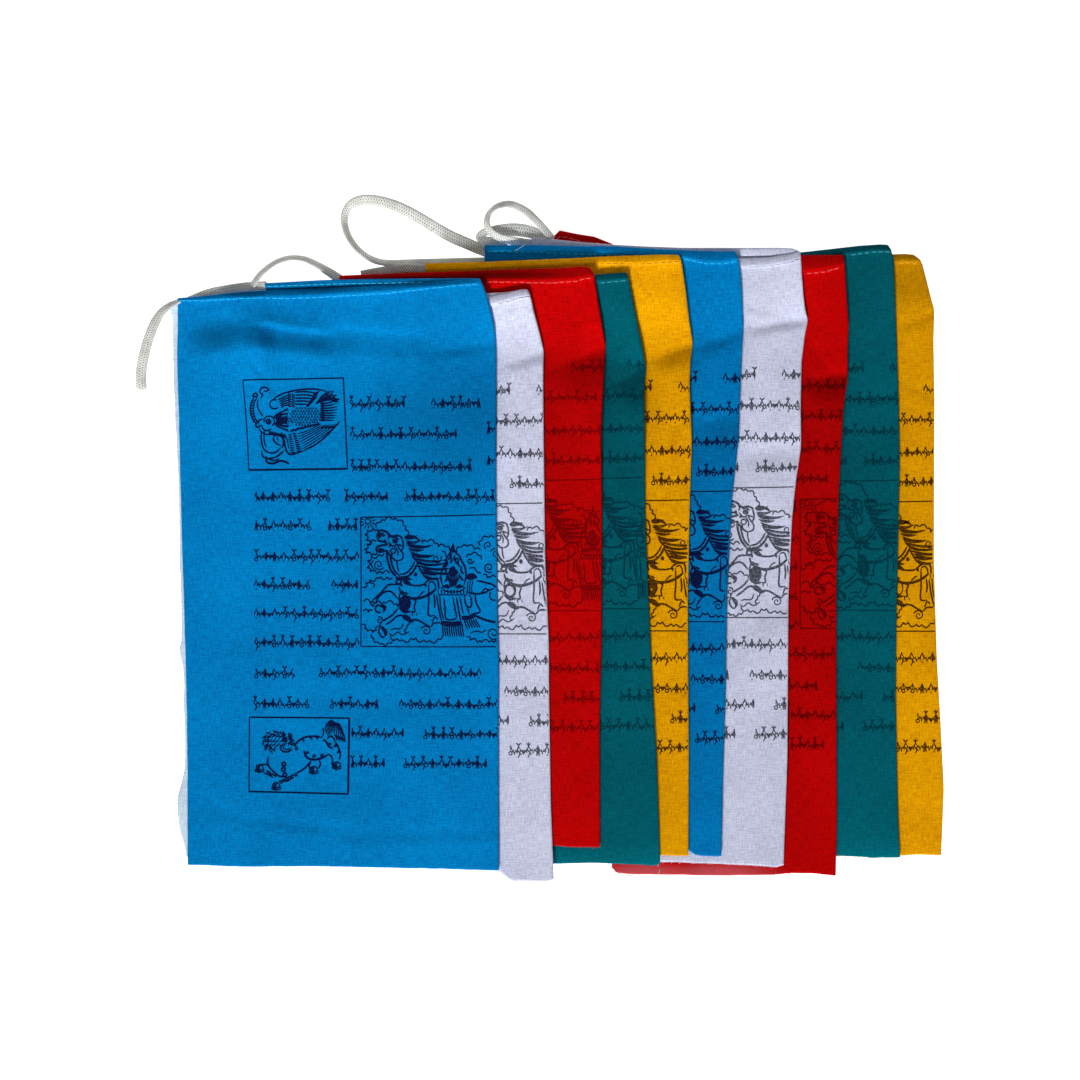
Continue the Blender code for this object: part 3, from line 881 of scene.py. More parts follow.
class Pad:
    """Collects strokes, and can draw them again mirrored."""

    def __init__(self):
        self.strokes = []

    def line(self, points, width=1.15, ends=0.45, closed=False, step=1.6):
        pts = smooth_line(points, step, closed)
        t = np.linspace(0, 1, len(pts))
        swell = np.clip(np.minimum(t, 1 - t) * 7, 0, 1)
        w = width * (ends + (1 - ends) * swell) if not closed else np.full(len(pts), width)
        self.strokes.append((pts, w))

    def rule(self, a, b, width=1.1):
        self.strokes.append((smooth_line([a, b], 4.0), None))
        pts = self.strokes.pop()[0]
        self.strokes.append((pts, np.full(len(pts), width)))

    def petal(self, a, b, bend=0.0, width=2.6, tip=0.15):
        """A dark leaf-shaped stroke from a to b, bowed by bend."""
        a, b = np.asarray(a, float), np.asarray(b, float)
        side = np.array([-(b - a)[1], (b - a)[0]]) * bend
        t = np.linspace(0, 1, max(4, int(np.linalg.norm(b - a) / 1.5) + 1))[:, None]
        pts = a * (1 - t) + b * t + side * 4 * t * (1 - t)
        t = t[:, 0]
        self.strokes.append((pts, width * np.clip(tip + np.sin(np.pi * t**0.8), 0, 1)))

    def ring(self, centre, radius, width=1.0, turn=(0.0, 360.0), squash=1.0, step=1.3):
        a0, a1 = np.radians(turn)
        count = max(6, int(abs(a1 - a0) * radius / step) + 1)
        a = np.linspace(a0, a1, count)
        pts = np.stack([centre[0] + radius * np.cos(a), centre[1] + squash * radius * np.sin(a)], axis=1)
        self.strokes.append((pts, np.full(count, width)))

    def dot(self, centre, size=1.6):
        c = np.asarray(centre, float)
        pts = np.array([c - (0.5 * size, 0), c - (0.25 * size, 0), c + (0.25 * size, 0), c + (0.5 * size, 0)])
        self.strokes.append((pts, size * np.array([0.35, 0.95, 0.95, 0.35])))

    def curl(self, centre, radius, start=0.0, turns=1.4, width=1.05, hand=1):
        count = max(9, int(turns * 2 * np.pi * radius * 0.6 / 1.1))
        t = np.linspace(0, 1, count)
        a = np.radians(start) + hand * t * turns * 2 * np.pi
        r = radius * (1 - 0.86 * t)
        pts = np.stack([centre[0] + r * np.cos(a), centre[1] + r * np.sin(a)], axis=1)
        self.strokes.append((pts, width * (1 - 0.35 * t)))

    def cloud(self, points, bump=6.0, width=1.1, lift=0.42):
        """A scalloped outline whose bumps stand out to the left of its run."""
        pts = smooth_line(points, 0.8)
        run = np.concatenate([[0], np.cumsum(np.linalg.norm(np.diff(pts, axis=0), axis=1))])
        count = max(1, int(round(run[-1] / bump)))
        at = np.linspace(0, run[-1], count + 1)
        at[1:-1] += bump * 0.16 * np.sin(3.1 * np.arange(1, count) + points[0][0])
        ends = np.stack([np.interp(at, run, pts[:, 0]), np.interp(at, run, pts[:, 1])], axis=1)
        for a, b in zip(ends[:-1], ends[1:]):
            side = np.array([(b - a)[1], -(b - a)[0]]) * lift
            t = np.linspace(0, 1, 7)[:, None]
            arc = a * (1 - t) + b * t + side * np.sin(np.pi * t)
            self.strokes.append((arc, width * np.array([0.7, 1, 1, 1, 1, 1, 0.7])))

    def mirrored(self, about):
        copy = Pad()
        copy.strokes = [
            (np.stack([2 * about - p[:, 0], p[:, 1]], axis=1), w) for p, w in self.strokes
        ]
        return copy


def ornament_row(pad, x0, x1, y, seed):
    """A border of leafy swags, with a rosette and a drop or a tassel at each joint."""
    rng = np.random.RandomState(seed)
    top = y - 3.4
    joints = [0.0]
    while joints[-1] < x1 - x0 - 6.0:
        joints.append(joints[-1] + rng.uniform(7.6, 11.0))
    joints = x0 + 1.2 + np.array(joints) * (x1 - x0 - 2.6) / max(joints[-1], 1.0)
    for n, (a, b) in enumerate(zip(joints[:-1], joints[1:])):
        wide, deep = b - a, rng.uniform(4.4, 6.6)

        def spot(t, a=a, wide=wide, deep=deep):
            return a + wide * t, top + deep * 4 * t * (1 - t)

        pad.line([spot(t) for t in (0, 0.2, 0.4, 0.6, 0.8, 1.0)], 0.7, 0.8, step=2.4)
        for t, out in ((0.22, 1), (0.36, -1), (0.5, 1), (0.64, -1), (0.78, 1)):
            px, py = spot(t)
            lean = 1.5 * (t - 0.5) * 2
            if out > 0:
                pad.petal((px, py), (px + lean, py + 2.8), 0.1, 1.0)
            else:
                pad.petal((px, py), (px - 0.4 * lean, py - 2.2), 0.1, 0.9)
        if n % 3 == 1:
            px, py = spot(0.5)
            pad.ring((px, py - 0.2), 1.3, 0.9)
    for n, x in enumerate(joints):
        pad.dot((x, top), 1.5)
        fan = rng.randint(6)
        if fan == 0:
            for lean in (-2.2, 0.0, 2.2):
                pad.petal((x, top - 0.6), (x + lean, top - 4.6 + 0.5 * abs(lean)), 0.0, 0.85)
        elif fan == 1:
            pad.petal((x - 0.3, top - 0.6), (x - 2.6, top - 3.2), 0.15, 1.2)
            pad.petal((x + 0.3, top - 0.6), (x + 2.6, top - 3.2), -0.15, 1.2)
        drop = rng.randint(5)
        if drop == 0:
            for lean in (-1.5, 0.0, 1.5):
                pad.line([(x, top + 0.8), (x + 0.5 * lean, top + 4.6), (x + lean, top + 9.4)], 0.7, step=2.0)
        elif drop == 1:
            pad.petal((x, top + 0.8), (x, top + 8.8), 0.0, 1.8)
        elif drop == 2:
            pad.line([(x, top + 0.8), (x, top + 5.0)], 0.7, step=2.0)
            pad.ring((x, top + 6.9), 1.7, 0.85)
        elif drop == 3:
            long = rng.uniform(9.5, 13.0)
            pad.line([(x, top), (x - 1.2, top + 0.3 * long), (x + 1.2, top + 0.6 * long), (x - 0.4, top + long)], 0.95, step=1.6)
            pad.petal((x + 0.9, top + 0.5 * long), (x + 3.2, top + 0.72 * long), 0.15, 1.2)
        else:
            pad.petal((x, top + 0.8), (x - 1.7, top + 6.4), 0.14, 1.1)
            pad.petal((x, top + 0.8), (x + 1.7, top + 6.4), -0.14, 1.1)
            pad.dot((x, top + 8.6), 1.3)


def draw_bird():
    p = Pad()
    p.line([(242, 380), (262, 379.6), (300, 379), (343, 378.2)], 1.0, 1.0)
    p.line([(343, 378.2), (345, 420), (347.2, 469)], 1.1, 1.0)
    p.line([(247.8, 470), (300, 469.4), (347.2, 469)], 1.5, 1.0)
    p.line([(242, 380), (245.6, 425), (247.8, 470)], 0.9, 1.0)
    # The snake: a loop above, held in the beak, and its tail below.
    p.line([(268.5, 389.5), (264.5, 387.4), (260.2, 388.6), (259.4, 392.6), (262, 394.6), (259.6, 398.8)], 1.4)
    p.line([(268.5, 389.5), (265.6, 391.4), (263, 390.8)], 1.3)
    for dx, w in ((0, 1.5), (2.9, 1.2)):
        p.line([(253.8 + dx, 396.2), (250.2 + dx, 404), (249.8 + dx, 412), (251.8 + dx, 419), (256.2 + dx, 424.4)], w)
    p.curl((255.0, 395.6), 3.1, 150, 1.1, 1.7)
    for i in range(9):
        y = 399.5 + 2.7 * i
        x = 250.9 - 1.3 * math.sin((y - 398) / 22 * math.pi)
        p.petal((x + 0.5, y), (x + 3.3, y + 0.9), 0.1, 1.0)
    p.line([(257.2, 399), (256.6, 406), (259.2, 412), (262.2, 416.5)], 1.1)
    p.line([(260.4, 431), (260.4, 440), (262.6, 448.6), (267.6, 452.4), (274, 452.6), (279.6, 448)], 1.4)
    p.line([(263.4, 430), (263.2, 440), (265.0, 447)], 1.1)
    p.line([(260.6, 450.6), (261.8, 456), (266.6, 458.4), (275, 457), (283.6, 450.4)], 1.5)
    p.line([(265.2, 456), (266, 461.6), (271.6, 463.6), (279, 461), (284.4, 461.8), (288.6, 464.2)], 1.9)
    p.line([(266.8, 458.6), (272.6, 460.6), (279, 458.6)], 1.1)
    # Head, horn and beak.
    p.ring((267.6, 421.6), 2.3, 1.3)
    p.dot((267.8, 421.6), 2.2)
    p.ring((268.4, 421.2), 5.2, 1.1, (170, 420))
    p.line([(262.6, 418.8), (258.4, 420.4), (254.8, 424.2), (256.4, 427.2), (260.2, 425)], 1.5)
    p.line([(260.2, 425), (262.6, 429.2), (266.2, 430.6), (270.4, 429)], 1.3)
    p.line([(258.6, 427.6), (259.6, 431), (264, 434), (269.8, 434.6)], 1.2)
    for i in range(15):
        a = math.radians(-68 + 8.6 * i)
        r0, r1 = 4.6, 17.5 + 3.2 * math.sin(2.3 * i)
        p.petal(
            (270.5 + r0 * math.cos(a), 420.6 + r0 * math.sin(a) * 0.85),
            (270.5 + r1 * math.cos(a * 0.72), 420.6 + r1 * math.sin(a * 0.72) * 0.72),
            0.09 * (-1) ** i, 1.35,
        )
    for i in range(9):
        p.petal((268 + 1.7 * i, 430.6 + 0.4 * i), (271.2 + 1.8 * i, 435.2 + 0.3 * i), 0.1, 1.8)
    for i in range(12):
        y = 410.6 + 1.7 * i
        p.petal((276 + 1.1 * abs(i - 5.5), y), (287.4 + 0.5 * (i % 3), y + 0.5 * (i - 5.5)), 0.08 * (-1) ** i, 1.2)
    # Spotted breast.
    rng = np.random.RandomState(4)
    for i in range(7):
        for j in range(11):
            x = 290.5 + 2.85 * j + 1.4 * (i % 2) + rng.uniform(-0.3, 0.3)
            y = 408.4 + 2.75 * i + rng.uniform(-0.3, 0.3)
            if ((x - 305) / 17.5) ** 2 + ((y - 416.5) / 10.4) ** 2 < 1:
                p.ring((x, y), 0.85, 0.7, (20, 300), 1.0, 1.0)
    # Upper wing: shoulder, coverts, then long quills and their fanned tips.
    p.ring((273.6, 404.2), 4.6, 1.2, (40, 300))
    p.line([(271.6, 400), (279, 395), (287.4, 392), (300, 389.6), (314, 389.2), (326.4, 391.4)], 1.4)
    for i in range(5):
        p.line([(277.4 + 0.8 * i, 399.8 + 2.1 * i), (283, 397 + 2.2 * i), (288.4, 395 + 2.5 * i)], 1.2)
    for i in range(6):
        p.curl((288.6 + 0.5 * (i % 2), 393.6 + 2.3 * i), 1.7, 20, 0.8, 1.25)
        p.curl((292.2 + 0.5 * (i % 2), 394.2 + 2.3 * i), 1.6, 20, 0.8, 1.15)
    for i in range(5):
        y = 392.4 + 2.9 * i
        p.line([(294, y), (304, y - 0.8 + 0.3 * i), (314.5 - 1.6 * i, y + 0.6)], 1.3)
    for i in range(5):
        p.petal((307.5 + 1.2 * i, 403.6 - 2.4 * i), (312.6 + 1.6 * i, 400.6 - 2.4 * i), 0.1, 1.9)
        p.petal((305.5 + 1.5 * i, 406.4 - 1.8 * i), (309.6 + 1.8 * i, 404.2 - 2.0 * i), 0.1, 1.7)
    for i in range(7):
        x0, y0 = 315 + 0.9 * i, 404.5 - 0.4 * i
        x1, y1 = 331.5 + 1.5 * i, 388.6 + 2.1 * i
        reach = 1.0 if i % 2 else 0.86
        x1, y1 = x0 + (x1 - x0) * reach, y0 + (y1 - y0) * reach
        p.line([(x0, y0), ((x0 + x1) / 2 - 1, (y0 + y1) / 2 - 1.4), (x1, y1)], 0.85)
        p.petal(((x0 + x1) / 2 + 2.0, (y0 + y1) / 2 - 0.8), (x1 + 0.8, y1 + 0.4), 0.06, 0.9)
    # Tail fan.
    for i in range(0, 15, 2):
        a = math.radians(-34 + 4.6 * i)
        tip = 19.0 - 2.6 * abs(math.sin(1.7 * i))
        p.petal((321.0, 411.5 + 1.1 * (i - 7)), (320.0 + tip * math.cos(a), 411.5 + tip * math.sin(a) * 1.05), 0.05, 1.25)
        p.petal((319.4, 411.5 + 1.15 * (i - 7)), (325.6, 411.5 + 1.25 * (i - 7)), 0.1, 1.9)
    # Lower wing.
    p.line([(280.4, 432), (283.2, 440), (284.6, 448), (287.2, 453), (291.4, 454.4), (303, 450.8)], 1.5)
    p.line([(283.6, 433.6), (286.6, 441), (287.8, 449)], 1.0)
    for i in range(9):
        y = 434.4 + 2.15 * i
        p.petal((287.2 + 0.24 * i, y), (291.4 + 0.42 * i, y + 0.4), 0.12, 1.1)
        p.petal((291.8 + 0.5 * i, y - 1.4), (296.0 + 0.72 * i, y - 0.6), 0.12, 1.3)
    p.line([(303, 450.8), (316, 443.8), (328, 434), (339.2, 421.6)], 1.5)
    for i in range(7):
        x0, y0 = 296.4 + 0.9 * i, 434.2 + 2.5 * i
        x1, y1 = 318.5 + 3.3 * i, 424.8 - 0.3 * i + 0.2 * i
        p.line([(x0, y0), ((x0 + x1) / 2, (y0 + y1) / 2 + 1.0), (x1, y1)], 0.8)
        if i > 1:
            p.petal((x1 - 7.5, y1 + 4.2), (x1 - 0.5, y1 + 0.2), 0.05, 1.2)
    for i in range(8):
        p.petal((289 + 3.6 * i, 431.6 - 1.1 * i + 0.5 * (i % 2)), (293.5 + 3.8 * i, 428.4 - 0.7 * i), 0.1, 1.9)
    # The arm that holds the tail.
    p.line([(273.4, 434.8), (272.8, 440), (276, 443.8), (279.8, 445.6)], 1.4)
    p.line([(278, 434.4), (281.6, 438.4), (282.6, 444.6), (280, 448)], 1.3)
    p.line([(275.6, 436.6), (277.8, 441)], 1.0)
    return p


def draw_lion():
    p = Pad()
    for a, b, w in (((248.4, 717.6), (349, 718), 1.2), ((349, 718), (347.8, 793.8), 1.7),
                    ((248, 792), (347.8, 793.8), 1.3), ((248.4, 717.6), (248, 792), 1.0)):
        p.line([a, b], w, 1.0, step=3.0)
    # Mane of curls to the left of a face turned back over the shoulder.
    rng = np.random.RandomState(9)
    for i in range(30):
        a = math.radians(95 + 9.4 * i)
        r = 12.2 + 2.6 * math.sin(1.9 * i)
        c = (275.8 + r * math.cos(a) * 1.12, 742.2 + r * math.sin(a) * 0.86)
        p.petal(c, (c[0] - 5.4 * math.sin(a + 0.5), c[1] + 4.8 * math.cos(a + 0.5)), 0.22, 1.35)
    for i in range(24):
        x, y = 262.5 + 3.9 * (i % 7) + rng.uniform(-0.5, 0.5), 736.4 + 4.1 * (i // 7) + rng.uniform(-0.6, 0.6)
        if x < 280 or y < 736:
            p.petal((x, y + 1.5), (x + 4.6, y - 2.4), 0.18, 1.2)
    p.line([(279.4, 745), (280.6, 750.6), (286, 752.2), (291.6, 749.6)], 1.5)
    p.line([(281.6, 744.6), (283, 748.8), (287, 749.8), (290.8, 747.4)], 1.0)
    p.ring((283.4, 740.2), 1.7, 1.2)
    p.dot((283.4, 740.2), 1.4)
    p.ring((289.4, 738.6), 1.5, 1.1)
    p.petal((280.4, 737.4), (285.4, 736.2), -0.2, 1.7)
    p.curl((290.6, 743.8), 2.0, 0, 1.1, 1.3)
    for i in range(5):
        p.curl((289 + 1.6 * i, 734.2 + 3.7 * i), 2.1, 60 * i, 1.0, 1.4)
    # Back, rump and belly.
    p.line([(293.6, 745.4), (298.6, 740.6), (305, 737.2), (314, 736.4), (321.6, 737.4)], 1.7)
    for x, y in ((302.6, 741), (310.6, 739), (316.4, 738.6)):
        p.curl((x, y), 1.6, 200, 0.9, 1.2)
    p.line([(303.4, 750.4), (304.8, 755.6), (309, 759.2), (315.6, 759.6), (322.6, 757.6), (328, 754.2)], 1.9)
    p.line([(322, 739.6), (325.4, 741.6), (328.4, 746.6), (332.6, 748.6)], 1.8)
    p.line([(321.6, 737.4), (323, 732), (322.2, 727.4)], 1.1)
    p.line([(326.4, 739.4), (329.6, 736), (332.4, 737.2), (334.6, 741.4)], 1.5)
    p.line([(334.6, 741.4), (337.8, 747), (340, 754), (338.8, 759.6)], 1.6)
    p.line([(328, 754.2), (331, 756.6), (332.4, 760.4)], 1.5)
    for x, y, s in ((329.4, 744.4, 1.8), (335.4, 746, 1.7), (338.4, 752, 1.6), (322, 755.6, 1.9), (314, 756.4, 2.0), (307, 753, 1.8)):
        p.curl((x, y), s, 120, 1.1, 1.4)
    # Plume of a tail.
    for i in range(0, 11, 2):
        t = i / 10
        p.line(
            [(327.6 + 1.0 * i * 0.5, 736 - 0.4 * i), (324.6 + 0.9 * i, 727.6 - 0.25 * i), (330 + 0.9 * i, 720.6 + 0.35 * i),
             (338.4 + 0.5 * i - 4 * (1 - t), 724 + 1.0 * i), (338.8 + 0.65 * i - 5 * (1 - t), 735 + 0.65 * i)],
            1.0,
        )
    for i in range(6):
        p.petal((333.2 + 1.8 * i, 733.6 + 0.7 * i), (336.2 + 1.6 * i, 741 + 0.3 * i), -0.1, 1.1)
    # Legs and paws.
    for cx, cy in ((336.4, 765.6), (313.2, 770.4), (275.2, 786.8), (258.6, 769.2)):
        p.ring((cx, cy - 0.6), 3.6, 1.1, (150, 390), 0.9)
        for dx in (-3.2, -1.1, 1.1, 3.2):
            p.ring((cx + dx, cy + 2.6 - 0.25 * abs(dx)), 1.35, 1.0)
        for a in (200, 245, 290, 335):
            r = math.radians(a - 90)
            p.curl((cx + 3.0 * math.cos(r), cy + 3.0 * math.sin(r) + 0.6), 1.5, a, 0.9, 1.35)
        p.dot((cx, cy + 0.4), 1.6)
    p.line([(332.4, 760.4), (331.8, 764), (334, 768.6)], 1.6)
    p.line([(310.4, 761), (308.6, 766), (310.2, 771.4)], 1.4)
    p.line([(318.4, 760.6), (320, 764), (317.6, 768.6)], 1.5)
    p.line([(310.2, 761.2), (305, 767.6), (299.4, 771.4), (294.6, 774)], 1.6)
    for i in range(6):
        p.curl((294.6 - 2.9 * i, 774.6 + 1.65 * i), 2.0, 40 * i, 1.0, 1.5)
    p.line([(267.4, 756.4), (266.8, 764.6), (271.6, 771), (278.4, 776.4), (284, 777.2)], 1.5)
    p.line([(266.8, 765), (260, 765), (254.8, 766.4)], 1.4)
    p.line([(262.4, 773.6), (267.4, 775), (272.2, 778.2)], 1.3)
    for i in range(4):
        p.curl((266.6 + 2.6 * i, 771.6 + 1.7 * i), 1.5, 60 * i, 1.0, 1.25)
    for x, y in ((283, 764.6), (282.6, 769.8), (284, 775.2)):
        p.ring((x, y), 1.9, 1.7)
    p.line([(281, 781.6), (286.4, 781.2), (291.6, 778.4)], 1.5)
    return p


def draw_horse():
    p = Pad()
    p.line([(360.4, 517.4), (430, 516.4), (498, 514.8), (564, 515)], 0.85, 1.0, step=1.7)
    p.line([(360.4, 517.4), (360.8, 580), (360.6, 646.4)], 0.95, 1.0, step=1.7)
    p.line([(360.6, 646.4), (430, 646.6), (564, 646)], 0.85, 1.0, step=1.7)
    p.line([(564, 515), (564, 646)], 0.85, 1.0, step=1.7)
    # Sun in its corner.
    p.ring((367.4, 521.4), 2.7, 1.0)
    for i in range(9):
        a = math.radians(-40 + 30 * i)
        p.petal((367.4 + 4.1 * math.cos(a), 521.4 + 4.1 * math.sin(a)), (367.4 + 8.2 * math.cos(a), 521.4 + 7.6 * math.sin(a)), 0.08, 1.2)
    # Clouds round the frame.
    p.cloud([(376, 528), (382, 521.6), (392, 520), (400, 522), (404.6, 529), (406.4, 536.5)], 6.4)
    p.cloud([(383, 533), (374, 527.6), (366, 530.6), (364.4, 539), (370, 543.6), (376, 541.6)], 6.2)
    p.cloud([(371.4, 541.6), (364.4, 545.6), (365, 553), (372.4, 556.6), (381, 552)], 6.0)
    p.cloud([(384, 553.2), (372.4, 555.6), (366.6, 561.6), (366.6, 568.6), (373.6, 574), (389.4, 573.2)], 6.2)
    p.curl((378.4, 564.8), 5.4, 30, 1.5, 1.1)
    p.line([(373.2, 559.8), (371, 564.6), (373.2, 569.2)], 1.0)
    p.cloud([(392, 577.6), (380, 576.4), (369, 580.2), (362, 587.4)], 6.0)
    p.line([(364.4, 583.6), (369, 582.6), (374.4, 584.6), (372.6, 587.8)], 1.0)
    p.cloud([(363, 601.6), (370, 602.4), (378, 605.6), (386, 603.2), (393, 604.2), (397.6, 607.6)], 6.6)
    p.cloud([(362.6, 611), (367, 612.6), (372.6, 610.6)], 5.0)
    p.cloud([(362, 624), (366, 631), (374.4, 632.4), (379, 626.4)], 5.4)
    p.cloud([(392, 640.6), (384, 643.4), (376, 640.6), (371.4, 634)], 5.4)
    p.cloud([(442, 634.6), (436, 639.4), (424, 639.6), (414, 637.2), (402, 639.6), (390, 635.4)], 6.6)
    p.cloud([(406.6, 633.6), (407.6, 626.4), (413.6, 621.4)], 5.0)
    p.curl((426, 630.6), 5.2, 200, 1.5, 1.1)
    p.line([(390, 629.6), (394.6, 628.6), (400.4, 628.4), (403.4, 622.8)], 1.0)
    p.line([(388.6, 633.2), (392.6, 635.4), (397.4, 632), (402.6, 634.6), (409, 631.2)], 1.0)
    p.curl((379.2, 620.2), 3.8, 250, 1.3, 1.1)
    p.cloud([(421.6, 543.8), (428, 541.6), (434.6, 543.6), (437.6, 547.4), (444, 546.6), (449.4, 551)], 6.0)
    p.curl((436.4, 558.8), 5.0, 330, 1.25, 1.1)
    p.cloud([(441.4, 552), (445.4, 555.6), (443, 560.6)], 4.6)
    p.cloud([(456.6, 552.4), (459.4, 548), (467.4, 546.6), (473.4, 549.8), (480, 550.4)], 6.2)
    p.curl((470, 560.8), 3.4, 0, 1.3, 1.2)
    p.cloud([(466.4, 557.6), (470, 555), (476.6, 554.8), (480.6, 559.4)], 5.0)
    p.cloud([(480, 546), (482, 540), (489, 537.6), (496, 538.4), (502, 543), (508, 541), (516, 544)], 6.0)
    p.curl((487.6, 545.4), 4.2, 120, 1.2, 1.1)
    p.curl((495.6, 553.4), 5.6, 200, 1.6, 1.1)
    p.curl((488.6, 567.6), 5.2, 60, 1.5, 1.15)
    p.line([(468.4, 568.4), (474, 567.6), (476.4, 571.6), (481, 573.4)], 1.1)
    p.cloud([(483, 574.4), (487, 578.4), (493, 576.6), (499, 578.6)], 5.0)
    p.cloud([(466, 636.6), (472, 641.6), (480, 642.4), (490, 642), (500, 643), (512, 641)], 6.2)
    p.curl((493, 633), 6.4, 60, 1.4, 1.1)
    p.line([(470, 633), (475.6, 630.8), (481.4, 632), (486, 629.4)], 1.0)
    for x, y, s in ((516, 556, 5.4), (530, 546, 5.0), (545, 556, 5.6), (554, 570, 4.8), (530, 634, 5.6), (548, 630, 5.0)):
        p.curl((x, y), s, 3 * x, 1.5, 1.1)
        p.cloud([(x - 9, y + 5), (x - 8, y - 6), (x, y - 9), (x + 8, y - 5), (x + 9, y + 5)], 5.8)
    # Head thrown up, facing left.
    p.line([(402.6, 537.6), (397, 535.6), (391, 536.4), (386.2, 532), (380.4, 530.6), (377.2, 534.6), (376.6, 539)], 1.8)
    p.line([(376.6, 539), (379.6, 541.4), (384, 541.8), (387.6, 544.6)], 1.6)
    p.line([(387.6, 544.6), (381.4, 545.6), (376.8, 547), (376.4, 550.6), (380.6, 552), (386.6, 550.2)], 1.8)
    p.petal((377.6, 548.6), (384, 549.4), 0.1, 2.4)
    p.petal((378.2, 532.6), (378, 539.4), -0.2, 2.6)
    p.curl((382.6, 534.6), 2.2, 0, 1.2, 1.4)
    p.line([(386.2, 532), (388.6, 536.2), (388, 540)], 1.2)
    p.ring((394.8, 541.2), 2.2, 1.4, (0, 360), 0.8)
    p.dot((395.2, 541.4), 2.4)
    p.line([(391.6, 538.4), (395, 537.2), (399, 539.6)], 1.3)
    p.line([(400.4, 536.6), (402.6, 541.2), (403, 547.6), (400.6, 551.4)], 1.4)
    p.line([(397, 544.6), (399.6, 549.6), (402.6, 553.6), (402.4, 558.6), (398, 561)], 1.3)
    p.line([(394.6, 545.8), (397.6, 551.2), (397.4, 556.2)], 1.1)
    p.ring((392.8, 551), 2.6, 1.2)
    p.line([(386.6, 550.2), (389.4, 555.4), (395, 560.4), (398, 561)], 1.5)
    for x, y in ((385, 541), (389.6, 545.8), (391.2, 555.6), (387.6, 553)):
        p.dot((x, y), 2.4)
    p.line([(388, 541.6), (392.4, 546.2), (397, 544.6), (403, 546.6)], 1.2)
    # Neck, with the collar as two lines.
    p.line([(386, 551), (387.4, 560), (390.6, 570), (396.4, 577.4)], 1.9)
    p.line([(389.6, 553.6), (391, 562), (394, 570.4), (399.6, 576)], 1.6)
    p.line([(396.6, 560), (397, 566), (398.6, 572)], 1.1)
    p.line([(411, 552), (413.6, 558), (417.6, 562.4)], 1.6)
    p.line([(417.6, 562.4), (413.6, 570.4), (407.6, 576.2), (401, 577)], 1.8)
    p.line([(414.6, 561.6), (411.2, 568), (406, 573), (399.6, 574.6)], 1.5)
    for i in range(7):
        p.petal((396 + 1.3 * i, 576.2 + 0.5 * (i % 2)), (398.6 + 2.2 * i, 580.6 - 0.2 * i), 0.1, 2.3)
    p.dot((415.4, 574.4), 3.6)
    p.line([(409, 572.6), (412.2, 574.2)], 1.3)
    p.ring((398.4, 581.8), 2.5, 1.9)
    p.dot((401.2, 585.2), 2.4)
    p.line([(402.4, 578.4), (405, 583.2), (413, 585.4), (421, 585.2), (425.6, 583.4)], 1.4)
    p.petal((404.6, 579), (411.2, 584), 0.1, 2.6)
    # Mane: dark locks streaming to the right.
    locks = (
        (404.6, 538.6, 417, 538), (405, 541, 419.6, 540.6), (405.6, 543, 422, 545.4), (406.4, 545.6, 422.6, 547.6),
        (408, 548.6, 424, 550.6), (409.4, 551.6, 427, 554.6), (411, 554.6, 427.4, 557.6), (413, 557.6, 431, 561.6),
        (414.8, 560.2, 433, 564.6), (416.6, 562.8, 440.6, 565.6), (418, 565.6, 441, 568.6), (419.6, 568.6, 439.8, 572.6),
        (421.4, 571.6, 440, 576), (424, 575, 437.6, 578.8),
    )
    for i, (x0, y0, x1, y1) in enumerate(locks):
        reach = 1.0 + 0.22 * ((i * 5) % 4)
        tip = (x0 + (x1 - x0) * reach, y1 - 2.4 + 1.6 * (i % 3))
        middle = ((x0 + tip[0]) / 2, (y0 + tip[1]) / 2 + (1.5 if i % 2 else -1.3))
        if i % 2 == 0:
            p.petal((x0, y0), tip, 0.08, 2.3)
        else:
            p.line([(x0, y0), middle, tip], 0.85, 0.2)
            p.line([(x0 + 1.2, y0 + 1.3), (middle[0], middle[1] + 1.4), (tip[0] - 2.4, tip[1] + 1.0)], 0.75, 0.2)
    for i in range(5):
        p.petal((404 + 1.2 * i, 538 - 0.4 * i), (413 + 1.6 * i, 536.4 + 1.1 * i), -0.12, 2.4)
    p.line([(416.8, 563.6), (420.6, 571), (425.4, 577.4), (431, 580)], 1.5)
    # Breast band with its bell.
    p.line([(398.6, 586.6), (400.6, 592.4), (404.6, 596)], 1.5)
    p.line([(404.6, 595.2), (411, 598.2), (420, 597.8), (429.6, 594), (436.4, 588.4)], 2.3)
    p.line([(404, 592), (408, 594)], 1.3)
    p.line([(418.6, 596.6), (421.4, 593), (424.6, 591.4)], 1.1)
    p.line([(400.8, 590.4), (399, 596.6), (398.2, 600.6)], 1.3)
    for x, y in ((401.6, 592.6), (404.8, 594.2)):
        p.ring((x, y), 1.4, 1.3)
    p.petal((404.3, 595.0), (404.7, 613.8), 0.0, 11.0, 0.06)
    p.line([(398.6, 607.6), (404, 611.8), (410.6, 611.4)], 1.9)
    p.line([(411.6, 599), (415.6, 600.6), (414, 606), (414.6, 611.4), (410.8, 611.6)], 1.4)
    p.line([(412, 612), (412.4, 615.6)], 1.1)
    p.line([(416, 612.6), (417, 615.4)], 1.1)
